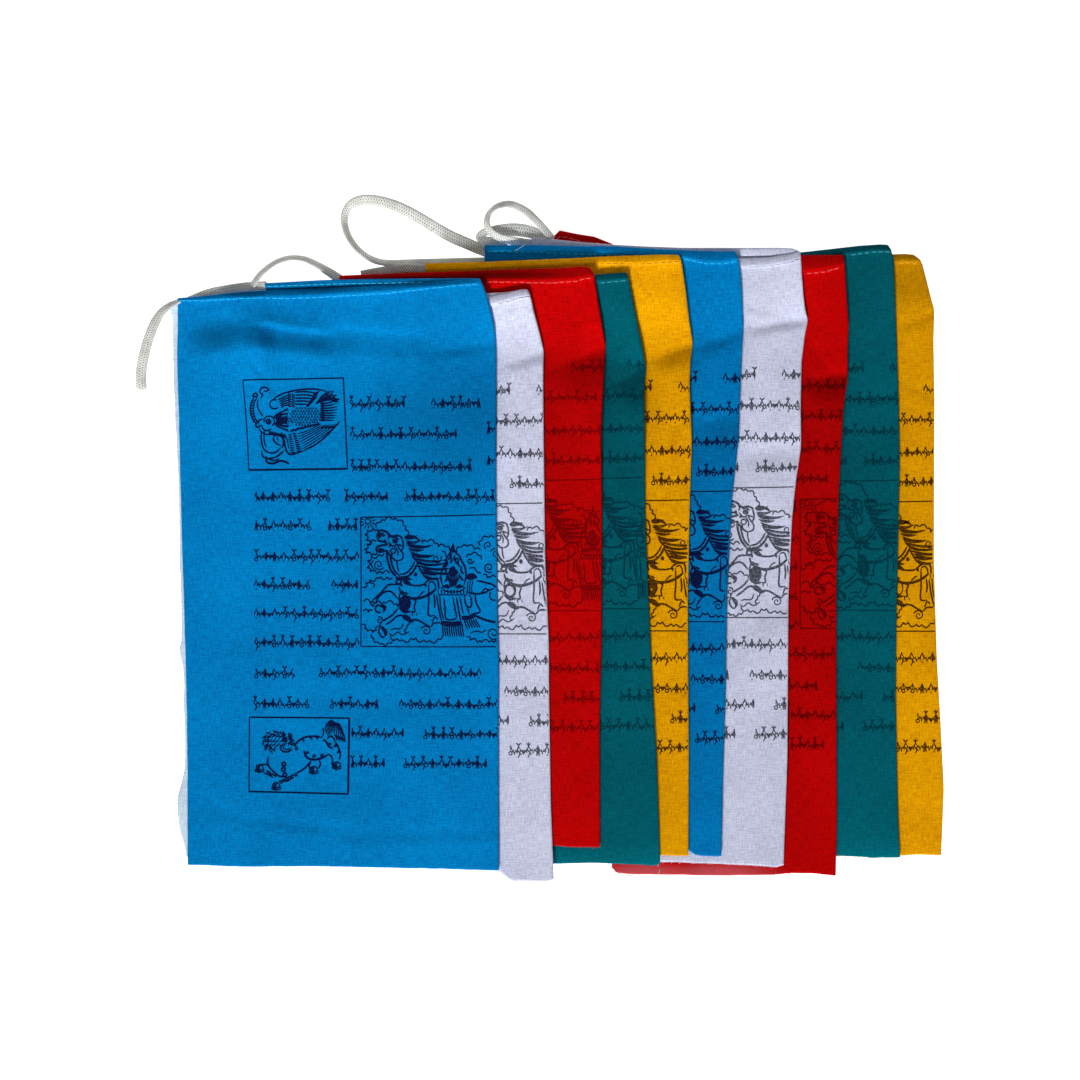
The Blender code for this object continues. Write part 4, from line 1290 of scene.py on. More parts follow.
    # Raised forelegs.
    p.line([(397.4, 584.4), (388.6, 584.8), (384.6, 588.4), (379.6, 594), (371.6, 601.2)], 1.5)
    p.line([(397.2, 598.4), (391.2, 592), (385.6, 591.6), (380.4, 594.8), (376.6, 600), (376.2, 604.2)], 1.5)
    p.line([(371.6, 601.2), (370.2, 604), (374.4, 606.4)], 1.5)
    p.ring((378.6, 608.8), 3.6, 1.5, (60, 330))
    p.petal((379.6, 605.6), (382.6, 612.4), -0.5, 3.6)
    p.line([(397.6, 608.4), (392.6, 614.4), (386.6, 618.6), (381.4, 621.4)], 1.5)
    p.line([(405.6, 616), (398, 615.6), (391.6, 620.6), (385.4, 625)], 1.5)
    p.line([(381.4, 621.4), (379.6, 626), (384, 627.6)], 1.4)
    p.line([(380, 627), (378.4, 631), (381, 636.4), (384.6, 637.4)], 1.4)
    p.petal((380.8, 628), (384.2, 637), -0.3, 3.4)
    p.petal((401.6, 615.8), (411.4, 622.6), -0.1, 4.6)
    p.line([(410.4, 619.6), (418, 620.2), (425, 624.2), (430.4, 627)], 1.5)
    p.line([(430.4, 627), (434, 623), (441, 622.6)], 1.3)
    p.line([(432, 622.6), (434.6, 616.8), (437.6, 619.4)], 1.3)
    # Saddle and hanging cloths.
    p.line([(424.6, 584.4), (427, 581), (432.4, 578.8), (437.4, 580.4), (438.6, 589.4)], 1.6)
    p.line([(428.6, 583), (432.4, 581.6), (434.8, 584.6), (435.6, 590.4)], 1.2)
    p.petal((424.4, 582), (426.4, 586.8), 0.1, 2.3)
    p.line([(428.4, 583.6), (428.6, 600), (428.2, 614.6), (434.6, 615.4)], 1.4)
    p.line([(433.8, 593.6), (434.6, 602), (434, 608)], 1.5)
    p.line([(436.4, 594.6), (438.4, 608), (441.4, 621.6)], 1.4)
    p.line([(439.4, 594), (440.6, 608), (443.4, 619.8)], 1.1)
    p.line([(443.6, 597.6), (444.8, 608), (446, 618.6), (455.8, 618), (454.6, 608), (452.6, 597)], 1.4)
    p.line([(443.2, 621), (452, 622), (460.4, 621)], 1.2)
    p.line([(456.2, 597), (458.2, 609), (460.4, 620.6)], 1.4)
    p.line([(459.6, 596.6), (461.4, 606), (463, 613.8)], 1.2)
    p.line([(463.8, 595.6), (466, 605), (470.6, 606.6), (471, 599), (469, 594.4)], 1.4)
    p.line([(466.6, 606.6), (469, 614)], 1.2)
    p.line([(474.6, 594), (476, 603), (479.6, 611.4), (470.4, 614.4)], 1.4)
    p.line([(440.8, 622.6), (450, 624), (461.6, 622.8)], 4.2, 0.8)
    p.line([(461.2, 617.6), (468, 617.4), (475, 615)], 3.8, 0.8)
    for i in range(10):
        p.petal((442.6 + 2.15 * i, 623.5), (443.4 + 2.25 * i, 636.4), 0.03, 1.15, 0.5)
    for i in range(6):
        p.petal((464 + 2.2 * i, 618.6), (467.4 + 2.5 * i, 628.8 - 0.4 * i), 0.04, 1.15, 0.5)
    # Lotus seat and the flaming jewel.
    for i in range(9):
        x = 439.6 + 3.15 * i
        p.line([(x - 2.1, 589.6), (x - 1.4, 593.4), (x + 0.2, 595.4), (x + 1.7, 593.2), (x + 2.1, 589.4)], 0.75)
    for i in range(9):
        a = math.radians(180 + 20 * i + 10)
        p.petal((452.8 + 4 * math.cos(a), 588.8 + 1.2 * math.sin(a)), (452.8 + 12.6 * math.cos(a), 588.4 + 5.6 * math.sin(a)), 0.12 * (1 if i < 4 else -1), 1.3)
    p.line([(441, 588), (446, 591), (452.8, 592), (460, 591), (465, 587.6)], 1.1)
    p.petal((448.2, 572.4), (457.8, 572.4), 0.0, 7.4, 0.25)
    p.petal((450.4, 568.4), (455.2, 568.4), 0.0, 4.0, 0.5)
    for i in range(5):
        x = 448.4 + 2.2 * i
        p.line([(x, 575), (452.8 + 0.72 * (x - 452.8), 580), (452.8 + 0.3 * (x - 452.8), 585.4)], 1.2)
    p.line([(446.6, 573), (447.4, 578), (450.6, 583.6)], 1.3)
    p.line([(459.2, 573), (458.6, 578), (455.4, 583.6)], 1.3)
    p.line([(442.6, 586), (440.6, 578), (442, 569.6), (445.2, 562.6), (447, 557), (450.4, 551.6), (452.8, 543.4)], 1.6)
    p.line([(452.8, 543.4), (454.6, 551.6), (458.6, 555.6), (461.4, 561), (464.6, 567), (465.8, 576), (463.8, 585)], 1.6)
    for x0, y0, x1, y1, b in ((443.6, 568, 446.4, 559, 0.2), (442.8, 575, 444.8, 567.6, 0.25), (447.6, 560, 450.4, 552, 0.18), (452.4, 553.6, 453, 545, 0.0),
                              (456, 562, 455, 554.6, -0.2), (460.4, 567, 458.4, 559, -0.22), (463.6, 574, 461.6, 566, -0.22), (463.8, 580.4, 461, 574.8, -0.25),
                              (444.2, 581.6, 446, 575.8, 0.25), (450, 563.6, 451.4, 557.2, 0.1)):
        p.petal((x0, y0), (x1, y1), b, 1.9)
    p.ring((456.8, 560.6), 1.6, 1.4, (0, 360), 1.5)
    # Cantle, crupper, rump and tail.
    p.petal((466.4, 578.2), (476.8, 577.4), -0.12, 6.0)
    for i in range(3):
        p.line([(468.2 + 2.2 * i, 580.4), (467 + 2.2 * i, 587), (467.8 + 1.9 * i, 593)], 0.85)
    p.line([(476.6, 580.6), (484, 582.2), (492.4, 584.6), (497, 589.2)], 1.6)
    p.line([(468, 592.4), (476, 593.8), (484, 592.6), (488.6, 590.4)], 1.7)
    p.line([(481.4, 592.4), (484.6, 588.6), (489, 590), (493.6, 588)], 1.3)
    p.line([(490, 591.6), (489.4, 597), (492.6, 600), (496.4, 599.4)], 1.3)
    p.line([(473, 614.6), (480, 617.8), (489, 620.8), (500, 622), (510, 618)], 2.0)
    p.line([(497, 589.2), (508, 590), (518, 594.4), (524, 602), (527, 612), (534, 619), (540, 626), (536, 633)], 1.7)
    p.line([(510, 618), (518, 624), (522, 632), (516, 638), (524, 640), (530, 636)], 1.6)
    p.petal((514, 637), (522, 640), 0.1, 3.4)
    p.petal((534, 632), (541, 633.6), 0.1, 3.6)
    for i in range(11):
        p.petal((519 + 0.4 * i, 594 + 0.9 * i), (541 + 1.5 * i, 583.4 + 2.6 * i), -0.14, 1.5)
    return p


ROWS = (
    (350, 405, 403), (432, 480, 403), (351, 457, 434), (351, 471, 466), (487, 498, 429), (487, 498, 460),
    (254, 329, 496), (345, 388, 496), (405, 494, 496), (254, 310, 525), (328, 357, 525), (254, 358, 556),
    (254, 309, 584), (332, 358, 584), (254, 358, 613), (254, 358, 642), (254, 293, 673), (319, 480, 672),
    (253, 308, 703), (330, 378, 703), (400, 498, 703), (351, 404, 732), (424, 499, 733), (351, 385, 762), (404, 487, 762),
)  # fmt: skip
BACK_ROWS = (
    (500, 566, 403), (498, 568, 434), (504, 570, 466), (500, 560, 496), (576, 670, 496), (570, 676, 525),
    (570, 640, 556), (570, 676, 584), (570, 676, 613), (570, 650, 642), (500, 672, 672), (506, 560, 703),
    (582, 676, 703), (502, 570, 733), (500, 564, 762),
)  # fmt: skip

DESIGN = Pad()
bird, lion = draw_bird(), draw_lion()
for drawing in (bird, lion, draw_horse()):
    DESIGN.strokes += drawing.strokes
for number, (x0, x1, y) in enumerate(ROWS):
    ornament_row(DESIGN, x0, x1, y, 100 + number)
FRONT_COUNT = len(DESIGN.strokes)
for drawing in (bird.mirrored(462), lion.mirrored(462)):
    DESIGN.strokes += drawing.strokes
for number, (x0, x1, y) in enumerate(BACK_ROWS):
    ornament_row(DESIGN, x0, x1, y, 300 + number)

OFFSETS = ((0, 0), (105, -13), (139, -36), (195, -38), (246, -16), (291, -25), (350, -29), (439, -18), (459, -36), (493, -15))
INK_LIFT = 0.07e-3


def bvh_of(thing):
    mesh = thing.data
    verts = np.empty(len(mesh.vertices) * 3, np.float32)
    mesh.vertices.foreach_get("co", verts)
    polys = [tuple(p.vertices) for p in mesh.polygons]
    return BVHTree.FromPolygons([tuple(v) for v in verts.reshape(-1, 3)], polys)


def ribbon(strokes, tree, below, keep):
    """Closed thin ribbons along the strokes, lying on the cloth."""
    verts, quads, caps = [], [], []
    for pts, widths in strokes:
        if len(pts) < 2:
            continue
        along = np.gradient(pts, axis=0)
        along /= np.maximum(np.linalg.norm(along, axis=1, keepdims=True), 1e-9)
        side = np.stack([-along[:, 1], along[:, 0]], axis=1)
        wide = (widths[:, None] * 1.12 + 0.22) / 2
        left = pts + side * wide
        right = pts - side * wide
        kept = keep(pts)
        rings = []
        for i in range(len(pts)):
            if not kept[i]:
                rings.append(None)
                continue
            ring = []
            for q in (left[i], right[i]):
                x = (q[0] - CENTRE[0]) * UNIT
                y = (CENTRE[1] - q[1]) * UNIT
                if below:
                    hit, normal, _, _ = tree.ray_cast(Vector((x, y, -0.02)), Vector((0, 0, 1)))
                else:
                    hit, normal, _, _ = tree.ray_cast(Vector((x, y, 0.06)), Vector((0, 0, -1)))
                if hit is None or abs(normal.z) < 0.25:
                    ring = None
                    break
                ring.append((x, y, hit.z))
            rings.append(ring)
        run = []
        for ring in rings + [None]:
            if ring is not None:
                if run and abs(ring[0][2] - run[-1][0][2]) > 1.2e-3:
                    run = flush(run, verts, quads, caps, below)
                run.append(ring)
                continue
            run = flush(run, verts, quads, caps, below)
    return verts, quads, caps


def flush(run, verts, quads, caps, below):
    if len(run) >= 2:
        up = -INK_LIFT if below else INK_LIFT
        base = len(verts)
        for (a, b) in run:
            verts.append((a[0], a[1], a[2] + up))
            verts.append((b[0], b[1], b[2] + up))
            verts.append(((a[0] + b[0]) / 2, (a[1] + b[1]) / 2, (a[2] + b[2]) / 2 - 2.0 * up))
        for i in range(len(run) - 1):
            p, q = base + 3 * i, base + 3 * i + 3
            for s, t in ((0, 1), (1, 2), (2, 0)):
                face = (p + s, q + s, q + t, p + t)
                quads.append(face if below else face[::-1])
        first, last = base, base + 3 * (len(run) - 1)
        cap = [(first, first + 1, first + 2), (last + 2, last + 1, last)]
        caps.extend(cap if below else [c[::-1] for c in cap])
    return []


def mixed_mesh(name, verts, quads, tris, uv_of=None):
    mesh = bpy.data.meshes.new(name)
    mesh.from_pydata(verts, [], quads + tris)
    mesh.update(calc_edges=True)
    if uv_of is not None:
        layer = mesh.uv_layers.new(name="metres")
        loops = np.empty(len(mesh.loops), np.int32)
        mesh.loops.foreach_get("vertex_index", loops)
        layer.data.foreach_set("uv", np.asarray(uv_of, np.float32)[loops].ravel())
    mesh.polygons.foreach_set("use_smooth", np.zeros(len(mesh.polygons), bool))
    thing = bpy.data.objects.new(name, mesh)
    bpy.context.scene.collection.objects.link(thing)
    return thing


trees = [bvh_of(thing) for thing in flag_things]
for k, flag in enumerate(FLAGS):
    dx, dy = OFFSETS[k]
    verts, quads, caps = [], [], []
    moved = [(p + (dx, dy), w) for p, w in DESIGN.strokes[:FRONT_COUNT]]

    def keep_top(pts, k=k):
        return (cover(k, pts[:, 0] + 1.8, pts[:, 1], 0.5) < 0.5) & (pts[:, 0] < fold_x(k, pts[:, 1]) - 0.6)

    v, q, c = ribbon(moved, trees[k], False, keep_top)
    verts, quads, caps = v, q, c
    if k in (5, 7, 9):
        turned = []
        for p, w in DESIGN.strokes:
            fold = fold_x(k, p[:, 1] + dy)
            turned.append((np.stack([2 * fold - p[:, 0] - dx, p[:, 1] + dy], axis=1), w))
        limit = {5: 534, 7: 595, 9: 2000}[k]

        def keep_under(pts, limit=limit, k=k):
            return (pts[:, 0] < limit) & (pts[:, 0] < fold_x(k, pts[:, 1]) - 1.0)

        v, q, c = ribbon(turned, trees[k], True, keep_under)
        base = len(verts)
        verts += v
        quads += [tuple(i + base for i in face) for face in q]
        caps += [tuple(i + base for i in face) for face in c]
    if not quads:
        continue
    uv = np.array(verts)[:, :2]
    thing = mixed_mesh(flag["name"] + "_print", verts, quads, caps, uv)
    c = flag["colour"]
    thing.data.materials.append(cloth_of(k, c, INKS[c], 0.08 if k == 7 else 1 - INK_WEIGHT[c]))
    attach(thing, "root")
    print(flag["name"], "print", len(quads) * 2 + len(caps))


# --------------------------------------------------------------- the cords
# Routes as in the frame, in plan units with heights in mm, and after them how
# far the flat braid is rolled on its edge (degrees) and how wide it is (mm).
CORD_WIDTH, CORD_THICK = 6.0e-3, 1.7e-3
CORDS = (
    ("cord_free_end", "bare",
     ((175.5, 301.5, 3.0), (168, 305, 2.2), (160, 312, 1.6), (154, 321, 1.5), (149, 332, 1.5), (145, 344, 1.5),
      (141.5, 357, 1.5), (139.5, 370, 1.5), (139, 381, 1.5), (140, 390, 1.5)),
     ((0, 55, 3.4), (0.12, 40, 5.0), (0.35, 18, 6.0), (1, 4, 6.2)), (4.0, 0.0)),
    ("cord_link_01_02", "object",
     ((260.5, 285.4, 4.2), (250, 285.9, 3.0), (238, 287.2, 2.0), (225, 289.2, 1.6), (212, 291.6, 1.5), (201, 294.6, 1.5),
      (191, 298.4, 1.5)),
     ((0, 4, 4.8), (0.3, 4, 5.6), (0.7, 8, 5.4), (1, 20, 4.6)), (5.0, 4.0)),
    ("cord_loop_02_03", "object",
     ((252.5, 283.2, 1.5), (255.4, 278.5, 1.5), (260.4, 272.6, 1.5), (268.4, 265.8, 1.5), (278, 260.4, 1.5), (290, 257.4, 1.5),
      (303, 258.6, 1.5), (315, 263.8, 1.8), (326, 270.2, 2.6), (335, 276, 3.4)),
     ((0, -52, 5.2), (0.3, -57, 5.5), (0.6, -57, 5.5), (0.8, -42, 5.4), (0.93, -20, 5.2), (1, -8, 4.8)), (3.0, 5.0)),
    ("cord_link_04_05", "object",
     ((362, 273.5, 1.6), (370, 272, 2.2), (380, 270.5, 3.2), (392, 269, 4.2), (406, 267.8, 4.6), (421.5, 268, 4.6)),
     ((0, 20, 4.4), (0.5, 25, 5.2), (1, 12, 4.4)), (2.0, 6.0)),
    ("cord_loop_05_06", "object",
     ((478, 260.5, 1.6), (455, 261, 1.6), (430, 261.5, 1.6), (408, 262, 1.6), (392, 262.5, 1.5), (378, 261, 1.5),
      (366, 256, 1.5), (355, 247, 1.5), (347, 235, 1.5), (343, 220, 1.5), (346, 209, 1.5), (354, 201.5, 1.5),
      (366, 199, 1.5), (383, 201.5, 1.5), (400, 207.5, 1.5), (418, 217, 1.5), (436, 228, 1.5), (452, 236.5, 1.7),
      (467, 243, 3.2), (474.5, 246.4, 3.3), (480.5, 249, 2.9)),
     ((0, 6, 4.4), (0.1, 30, 4.6), (0.2, 40, 5.0), (0.36, 56, 5.4), (0.5, 50, 5.6), (0.62, 16, 6.2), (0.8, 4, 6.6),
      (0.97, 4, 6.4), (1, 4, 5.8)),
     (6.4, 6.0)),
    ("cord_loop_06_07", "object",
     ((552, 238.5, 3.6), (546, 231.5, 4.6), (536, 220.5, 4.0), (524, 209.5, 2.4), (509, 203.5, 1.5), (496, 206, 1.5),
      (488, 213.5, 3.0), (486, 223, 4.9), (490, 231, 5.0), (499, 237, 5.2), (511, 240.2, 4.6), (520, 241.5, 3.4),
      (527.5, 242.5, 2.7)),
     ((0, 10, 4.0), (0.2, 6, 4.4), (0.38, 20, 4.6), (0.52, 60, 5.0), (0.64, 55, 5.2), (0.78, 38, 5.2), (1, 22, 5.0)),
     (0.0, 4.0)),
    ("cord_loop_07_08", "object",
     ((507, 242.5, 1.5), (498, 241.6, 1.5), (489, 240.6, 1.5), (481.5, 239.2, 1.5), (479.4, 235.4, 1.5), (485, 231, 1.5),
      (494, 229.4, 1.5), (504, 228.8, 1.5), (514, 228.8, 1.5), (524, 229.8, 1.5), (534, 232.4, 1.5), (546, 237, 1.5)),
     ((0, 0, 5.4), (0.2, 0, 5.2), (0.32, 40, 4.6), (0.42, 30, 4.8), (0.6, 0, 7.4), (0.8, 0, 7.4), (1, 4, 5.4)), (0.0, 3.0)),
)  # fmt: skip


def smooth_route(points, step):
    pts = np.asarray(points, float)
    ring = np.vstack([2 * pts[0] - pts[1], pts, 2 * pts[-1] - pts[-2]])
    out = []
    for a, b, c, d in zip(ring[:-3], ring[1:-2], ring[2:-1], ring[3:]):
        for t in np.arange(24) / 24:
            out.append(0.5 * (2 * b + (c - a) * t + (2 * a - 5 * b + 4 * c - d) * t * t + (3 * b - a - 3 * c + d) * t**3))
    out.append(ring[-2])
    out = np.array(out)
    run = np.concatenate([[0], np.cumsum(np.linalg.norm(np.diff(out, axis=0), axis=1))])
    at = np.linspace(0, run[-1], max(8, int(run[-1] / step) + 1))
    return np.stack([np.interp(at, run, out[:, i]) for i in range(3)], axis=1), run[-1]


def braid(name, points, shape, reach, bare_end):
    route = [tuple(place(x, y, z * 1e-3)) for x, y, z in points]
    route = np.array(route)
    # A little further into the hems than the frame's own tubes go.
    for end, extra in ((0, reach[0]), (1, reach[1])):
        if extra:
            i, j = (0, 1) if end == 0 else (-1, -2)
            way = route[i] - route[j]
            way = way / np.linalg.norm(way)
            new = route[i] + way * extra * UNIT
            route = np.vstack([new, route]) if end == 0 else np.vstack([route, new])
    path, length = smooth_route(route, 0.4e-3)
    count = len(path)
    s = np.linspace(0, 1, count)
    roll = np.radians(np.interp(s, [a[0] for a in shape], [a[1] for a in shape]))
    width = 1e-3 * np.interp(s, [a[0] for a in shape], [a[2] for a in shape])
    kernel = np.hanning(41)
    kernel /= kernel.sum()
    roll = np.convolve(np.pad(roll, 20, mode="edge"), kernel, "valid")
    width = np.convolve(np.pad(width, 20, mode="edge"), kernel, "valid")
    thick = np.full(count, CORD_THICK)
    # The floor carries the lower edge.
    extent = width / 2 * np.abs(np.sin(roll)) + thick / 2 * np.cos(roll)
    low = path[:, 2] - 1.5e-3 + 0.9e-3
    path[:, 2] = np.maximum(low, extent + 0.23e-3)
    kernel = np.hanning(15)
    kernel /= kernel.sum()
    path[:, 2] = np.convolve(np.pad(path[:, 2], 7, mode="edge"), kernel, "valid")
    along = np.gradient(path, axis=0)
    along /= np.linalg.norm(along, axis=1, keepdims=True)
    flat_side = np.stack([-along[:, 1], along[:, 0], np.zeros(count)], axis=1)
    flat_side /= np.linalg.norm(flat_side, axis=1, keepdims=True)
    up = np.cross(along, flat_side)
    wide = flat_side * np.cos(roll)[:, None] + up * np.sin(roll)[:, None]
    thin = np.cross(along, wide)
    around = 24
    a = np.linspace(0, 2 * np.pi, around, endpoint=False)
    ca, sa = np.cos(a), np.sin(a)
    px = np.sign(ca) * np.abs(ca) ** 0.8
    pz = np.sign(sa) * np.abs(sa) ** 0.9
    run = np.concatenate([[0], np.cumsum(np.linalg.norm(np.diff(path, axis=0), axis=1))])
    pitch = 1.5e-3
    first = run[:, None] / pitch + 7 * a[None] / (2 * np.pi)
    second = run[:, None] / pitch - 7 * a[None] / (2 * np.pi)
    strand = np.maximum(np.sin(2 * np.pi * first), np.sin(2 * np.pi * second))
    swell = 0.21e-3 * strand
    half_w = width[:, None] / 2 + swell
    half_t = thick[:, None] / 2 + swell
    if bare_end:
        tip = np.clip((run[-1] - run) / 2.2e-3, 0, 1)
        close = np.sqrt(np.clip(1 - (1 - tip) ** 2, 0.04, 1))[:, None]
        half_w, half_t = half_w * (0.45 + 0.55 * close), half_t * close
    rings = (
        path[:, None] + wide[:, None] * (px[None] * half_w)[..., None] + thin[:, None] * (pz[None] * half_t)[..., None]
    )
    verts = np.concatenate([rings.reshape(-1, 3), path[:1], path[-1:]])
    index = np.arange(count * around).reshape(count, around)
    nxt = np.roll(index, -1, axis=1)
    quads = np.stack([index[:-1], nxt[:-1], nxt[1:], index[1:]], axis=-1).reshape(-1, 4)
    n = count * around
    tris = [(int(nxt[0, i]), int(index[0, i]), n) for i in range(around)]
    tris += [(int(index[-1, i]), int(nxt[-1, i]), n + 1) for i in range(around)]
    u = np.repeat(run, around)
    v = np.tile(a / (2 * np.pi) * 0.014, count)
    uv = np.concatenate([np.stack([u, v], axis=1), [[0, 0]], [[run[-1], 0]]])
    thing = mixed_mesh(name + "_braid", verts.tolist(), quads.tolist(), tris, uv)
    thing.data.polygons.foreach_set("use_smooth", np.ones(len(thing.data.polygons), bool))
    return thing, path, run[-1]


def cord_cotton():
    mat = bpy.data.materials.new("braided_cotton")
    mat.use_nodes = True
    tree = mat.node_tree
    link = tree.links.new
    shader = tree.nodes["Principled BSDF"]
    shader.inputs["Roughness"].default_value = 0.88
    shader.inputs["Specular IOR Level"].default_value = 0.2
    uv = node(tree, "ShaderNodeUVMap", uv_map="metres")
    fibre = node(tree, "ShaderNodeMapping")
    fibre.inputs["Scale"].default_value = (900.0, 2600.0, 1.0)
    link(uv.outputs["UV"], fibre.inputs["Vector"])
    grain = node(tree, "ShaderNodeTexNoise")
    grain.inputs["Scale"].default_value = 1.0
    grain.inputs["Detail"].default_value = 3.0
    link(fibre.outputs["Vector"], grain.inputs["Vector"])
    patch = node(tree, "ShaderNodeTexNoise")
    patch.inputs["Scale"].default_value = 120.0
    link(uv.outputs["UV"], patch.inputs["Vector"])
    both = node(tree, "ShaderNodeMath", operation="MULTIPLY")
    link(grain.outputs["Fac"], both.inputs[0])
    link(patch.outputs["Fac"], both.inputs[1])
    span = node(tree, "ShaderNodeMapRange")
    span.inputs["From Min"].default_value = 0.14
    span.inputs["From Max"].default_value = 0.36
    link(both.outputs[0], span.inputs["Value"])
    mix = node(tree, "ShaderNodeMix", data_type="RGBA")
    mix.inputs["A"].default_value = linear(206, 209, 202)
    mix.inputs["B"].default_value = linear(250, 252, 248)
    link(span.outputs["Result"], mix.inputs["Factor"])
    # Painted shade in the gaps between the crossing strands, from the same run as the relief.
    parts = node(tree, "ShaderNodeSeparateXYZ")
    link(uv.outputs["UV"], parts.inputs["Vector"])
    crossing = []
    for sign in (1.0, -1.0):
        across = node(tree, "ShaderNodeMath", operation="MULTIPLY")
        across.inputs[1].default_value = sign * 7 * 2 * math.pi / 0.014
        link(parts.outputs["Y"], across.inputs[0])
        phase = node(tree, "ShaderNodeMath", operation="MULTIPLY_ADD")
        phase.inputs[1].default_value = 2 * math.pi / 1.5e-3
        link(parts.outputs["X"], phase.inputs[0])
        link(across.outputs[0], phase.inputs[2])
        sine = node(tree, "ShaderNodeMath", operation="SINE")
        link(phase.outputs[0], sine.inputs[0])
        crossing.append(sine.outputs[0])
    top = node(tree, "ShaderNodeMath", operation="MAXIMUM")
    link(crossing[0], top.inputs[0])
    link(crossing[1], top.inputs[1])
    depth = node(tree, "ShaderNodeMapRange")
    depth.inputs["From Min"].default_value = -0.75
    depth.inputs["From Max"].default_value = 0.55
    link(top.outputs[0], depth.inputs["Value"])
    # Painted shade: the gaps between strands darkened.
    painted_gap_shade = node(tree, "ShaderNodeMix", data_type="RGBA")
    painted_gap_shade.inputs["A"].default_value = linear(128, 128, 114)
    link(mix.outputs["Result"], painted_gap_shade.inputs["B"])
    link(depth.outputs["Result"], painted_gap_shade.inputs["Factor"])
    link(painted_gap_shade.outputs["Result"], shader.inputs["Base Color"])
    bump = node(tree, "ShaderNodeBump")
    bump.inputs["Strength"].default_value = 0.5
    bump.inputs["Distance"].default_value = 0.15e-3
    link(grain.outputs["Fac"], bump.inputs["Height"])
    link(bump.outputs["Normal"], shader.inputs["Normal"])
    return mat


cotton = cord_cotton()
for name, far, points, shape, reach in CORDS:
    thing, path, length = braid(name, points, shape, reach, far == "bare")
    thing.data.materials.append(cotton)
    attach(thing, "root")
    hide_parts(name)
    print(name, round(float(length), 4), len(thing.data.polygons))

# ------------------------------------------------------------- sewing thread
def capsule(points, radius, around=8, taper=True):
    """Vertices, quads and end triangles of a thread through these points."""
    pts = np.asarray(points, float)
    along = np.gradient(pts, axis=0)
    along /= np.maximum(np.linalg.norm(along, axis=1, keepdims=True), 1e-12)
    ref = np.array([0.0, 0.0, 1.0])
    side = np.cross(along, ref)
    weak = np.linalg.norm(side, axis=1) < 1e-3
    side[weak] = (1.0, 0.0, 0.0)
    side /= np.linalg.norm(side, axis=1, keepdims=True)
    up = np.cross(side, along)
    a = np.linspace(0, 2 * np.pi, around, endpoint=False)
    r = np.full(len(pts), radius)
    if taper:
        r[0] = r[-1] = 0.45 * radius
    rings = pts[:, None] + r[:, None, None] * (
        np.cos(a)[None, :, None] * side[:, None] + np.sin(a)[None, :, None] * up[:, None]
    )
    n = len(pts)
    index = np.arange(n * around).reshape(n, around)
    nxt = np.roll(index, -1, axis=1)
    quads = np.stack([index[:-1], index[1:], nxt[1:], nxt[:-1]], axis=-1).reshape(-1, 4)
    last = n * around
    tris = [(int(index[0, i]), int(nxt[0, i]), last) for i in range(around)]
    tris += [(int(nxt[-1, i]), int(index[-1, i]), last + 1) for i in range(around)]
    verts = np.concatenate([rings.reshape(-1, 3), pts[:1], pts[-1:]])
    return verts, quads, tris


class Threads:
    def __init__(self):
        self.verts, self.quads, self.tris, self.count = [], [], [], 0

    def add(self, points, radius, around=8, taper=True):
        verts, quads, tris = capsule(points, radius, around, taper)
        self.verts.append(verts)
        self.quads += (quads + self.count).tolist()
        self.tris += [tuple(i + self.count for i in t) for t in tris]
        self.count += len(verts)

    def build(self, name, material):
        if not self.verts:
            return None
        verts = np.concatenate(self.verts)
        thing = mixed_mesh(name, verts.tolist(), self.quads, self.tris, verts[:, :2])
        thing.data.polygons.foreach_set("use_smooth", np.ones(len(thing.data.polygons), bool))
        thing.data.materials.append(material)
        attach(thing, "root")
        return thing


def surface(k, x, y, above=True):
    wx, wy = (x - CENTRE[0]) * UNIT, (CENTRE[1] - y) * UNIT
    start = Vector((wx, wy, 0.06 if above else -0.02))
    hit, normal, _, _ = trees[k].ray_cast(start, Vector((0, 0, -1 if above else 1)))
    return hit, normal


STITCH, STEP = 5.5, 6.6
for k, flag in enumerate(FLAGS):
    sewing = Threads()
    rng = np.random.RandomState(500 + k)
    for half in ("front",) if k == 6 else ("front", "back"):
        tops = flag["top"] if half == "front" else flag["back_top"]
        hems = flag["hem"] if half == "front" else flag["back_hem"]
        x = flag["left"][0 if half == "front" else 1] + 2.0
        end = fold_x(k, 300.0) - 3.0
        while x < end:
            xs = x + np.linspace(0, STITCH + rng.uniform(-0.4, 0.4), 6)
            ys = table(tops, xs) + table(hems, xs) + rng.uniform(-0.2, 0.2)
            if half == "back":
                ys = table(tops, xs) + 0.62 * table(hems, xs)
                shown = table(flag["top"], xs) > ys + 0.4
            else:
                shown = cover(k, xs - 4, ys, 0.5) < 0.5
            if shown.all():
                line = []
                for i, (sx, sy) in enumerate(zip(xs, ys)):
                    hit, normal = surface(k, sx, sy)
                    if hit is None:
                        break
                    sink = -0.10e-3 if i in (0, 5) else 0.16e-3
                    line.append(hit + normal * sink)
                if len(line) == 6:
                    sewing.add([tuple(v) for v in line], 0.22e-3 if flag["colour"] == "white" else 0.29e-3)
            x += STEP + rng.uniform(-0.3, 0.3)
    thing = sewing.build(flag["name"] + "_stitches", SEWING[flag["colour"]])
    flag["stitches"] = thing

# ------------------------------------------------- frayed edges, loose threads
def fibre(name, colour):
    return plain_thread(name, colour, 0.85)


FIBRES = {
    "blue": fibre("fibre_blue", linear(0, 128, 198)),
    "white": fibre("fibre_white", linear(222, 226, 246)),
    "red": fibre("fibre_red", linear(196, 24, 30)),
    "green": fibre("fibre_green", linear(0, 92, 104)),
    "yellow": fibre("fibre_yellow", linear(240, 168, 8)),
}
pale_fibre = fibre("fibre_pale", linear(232, 240, 250))

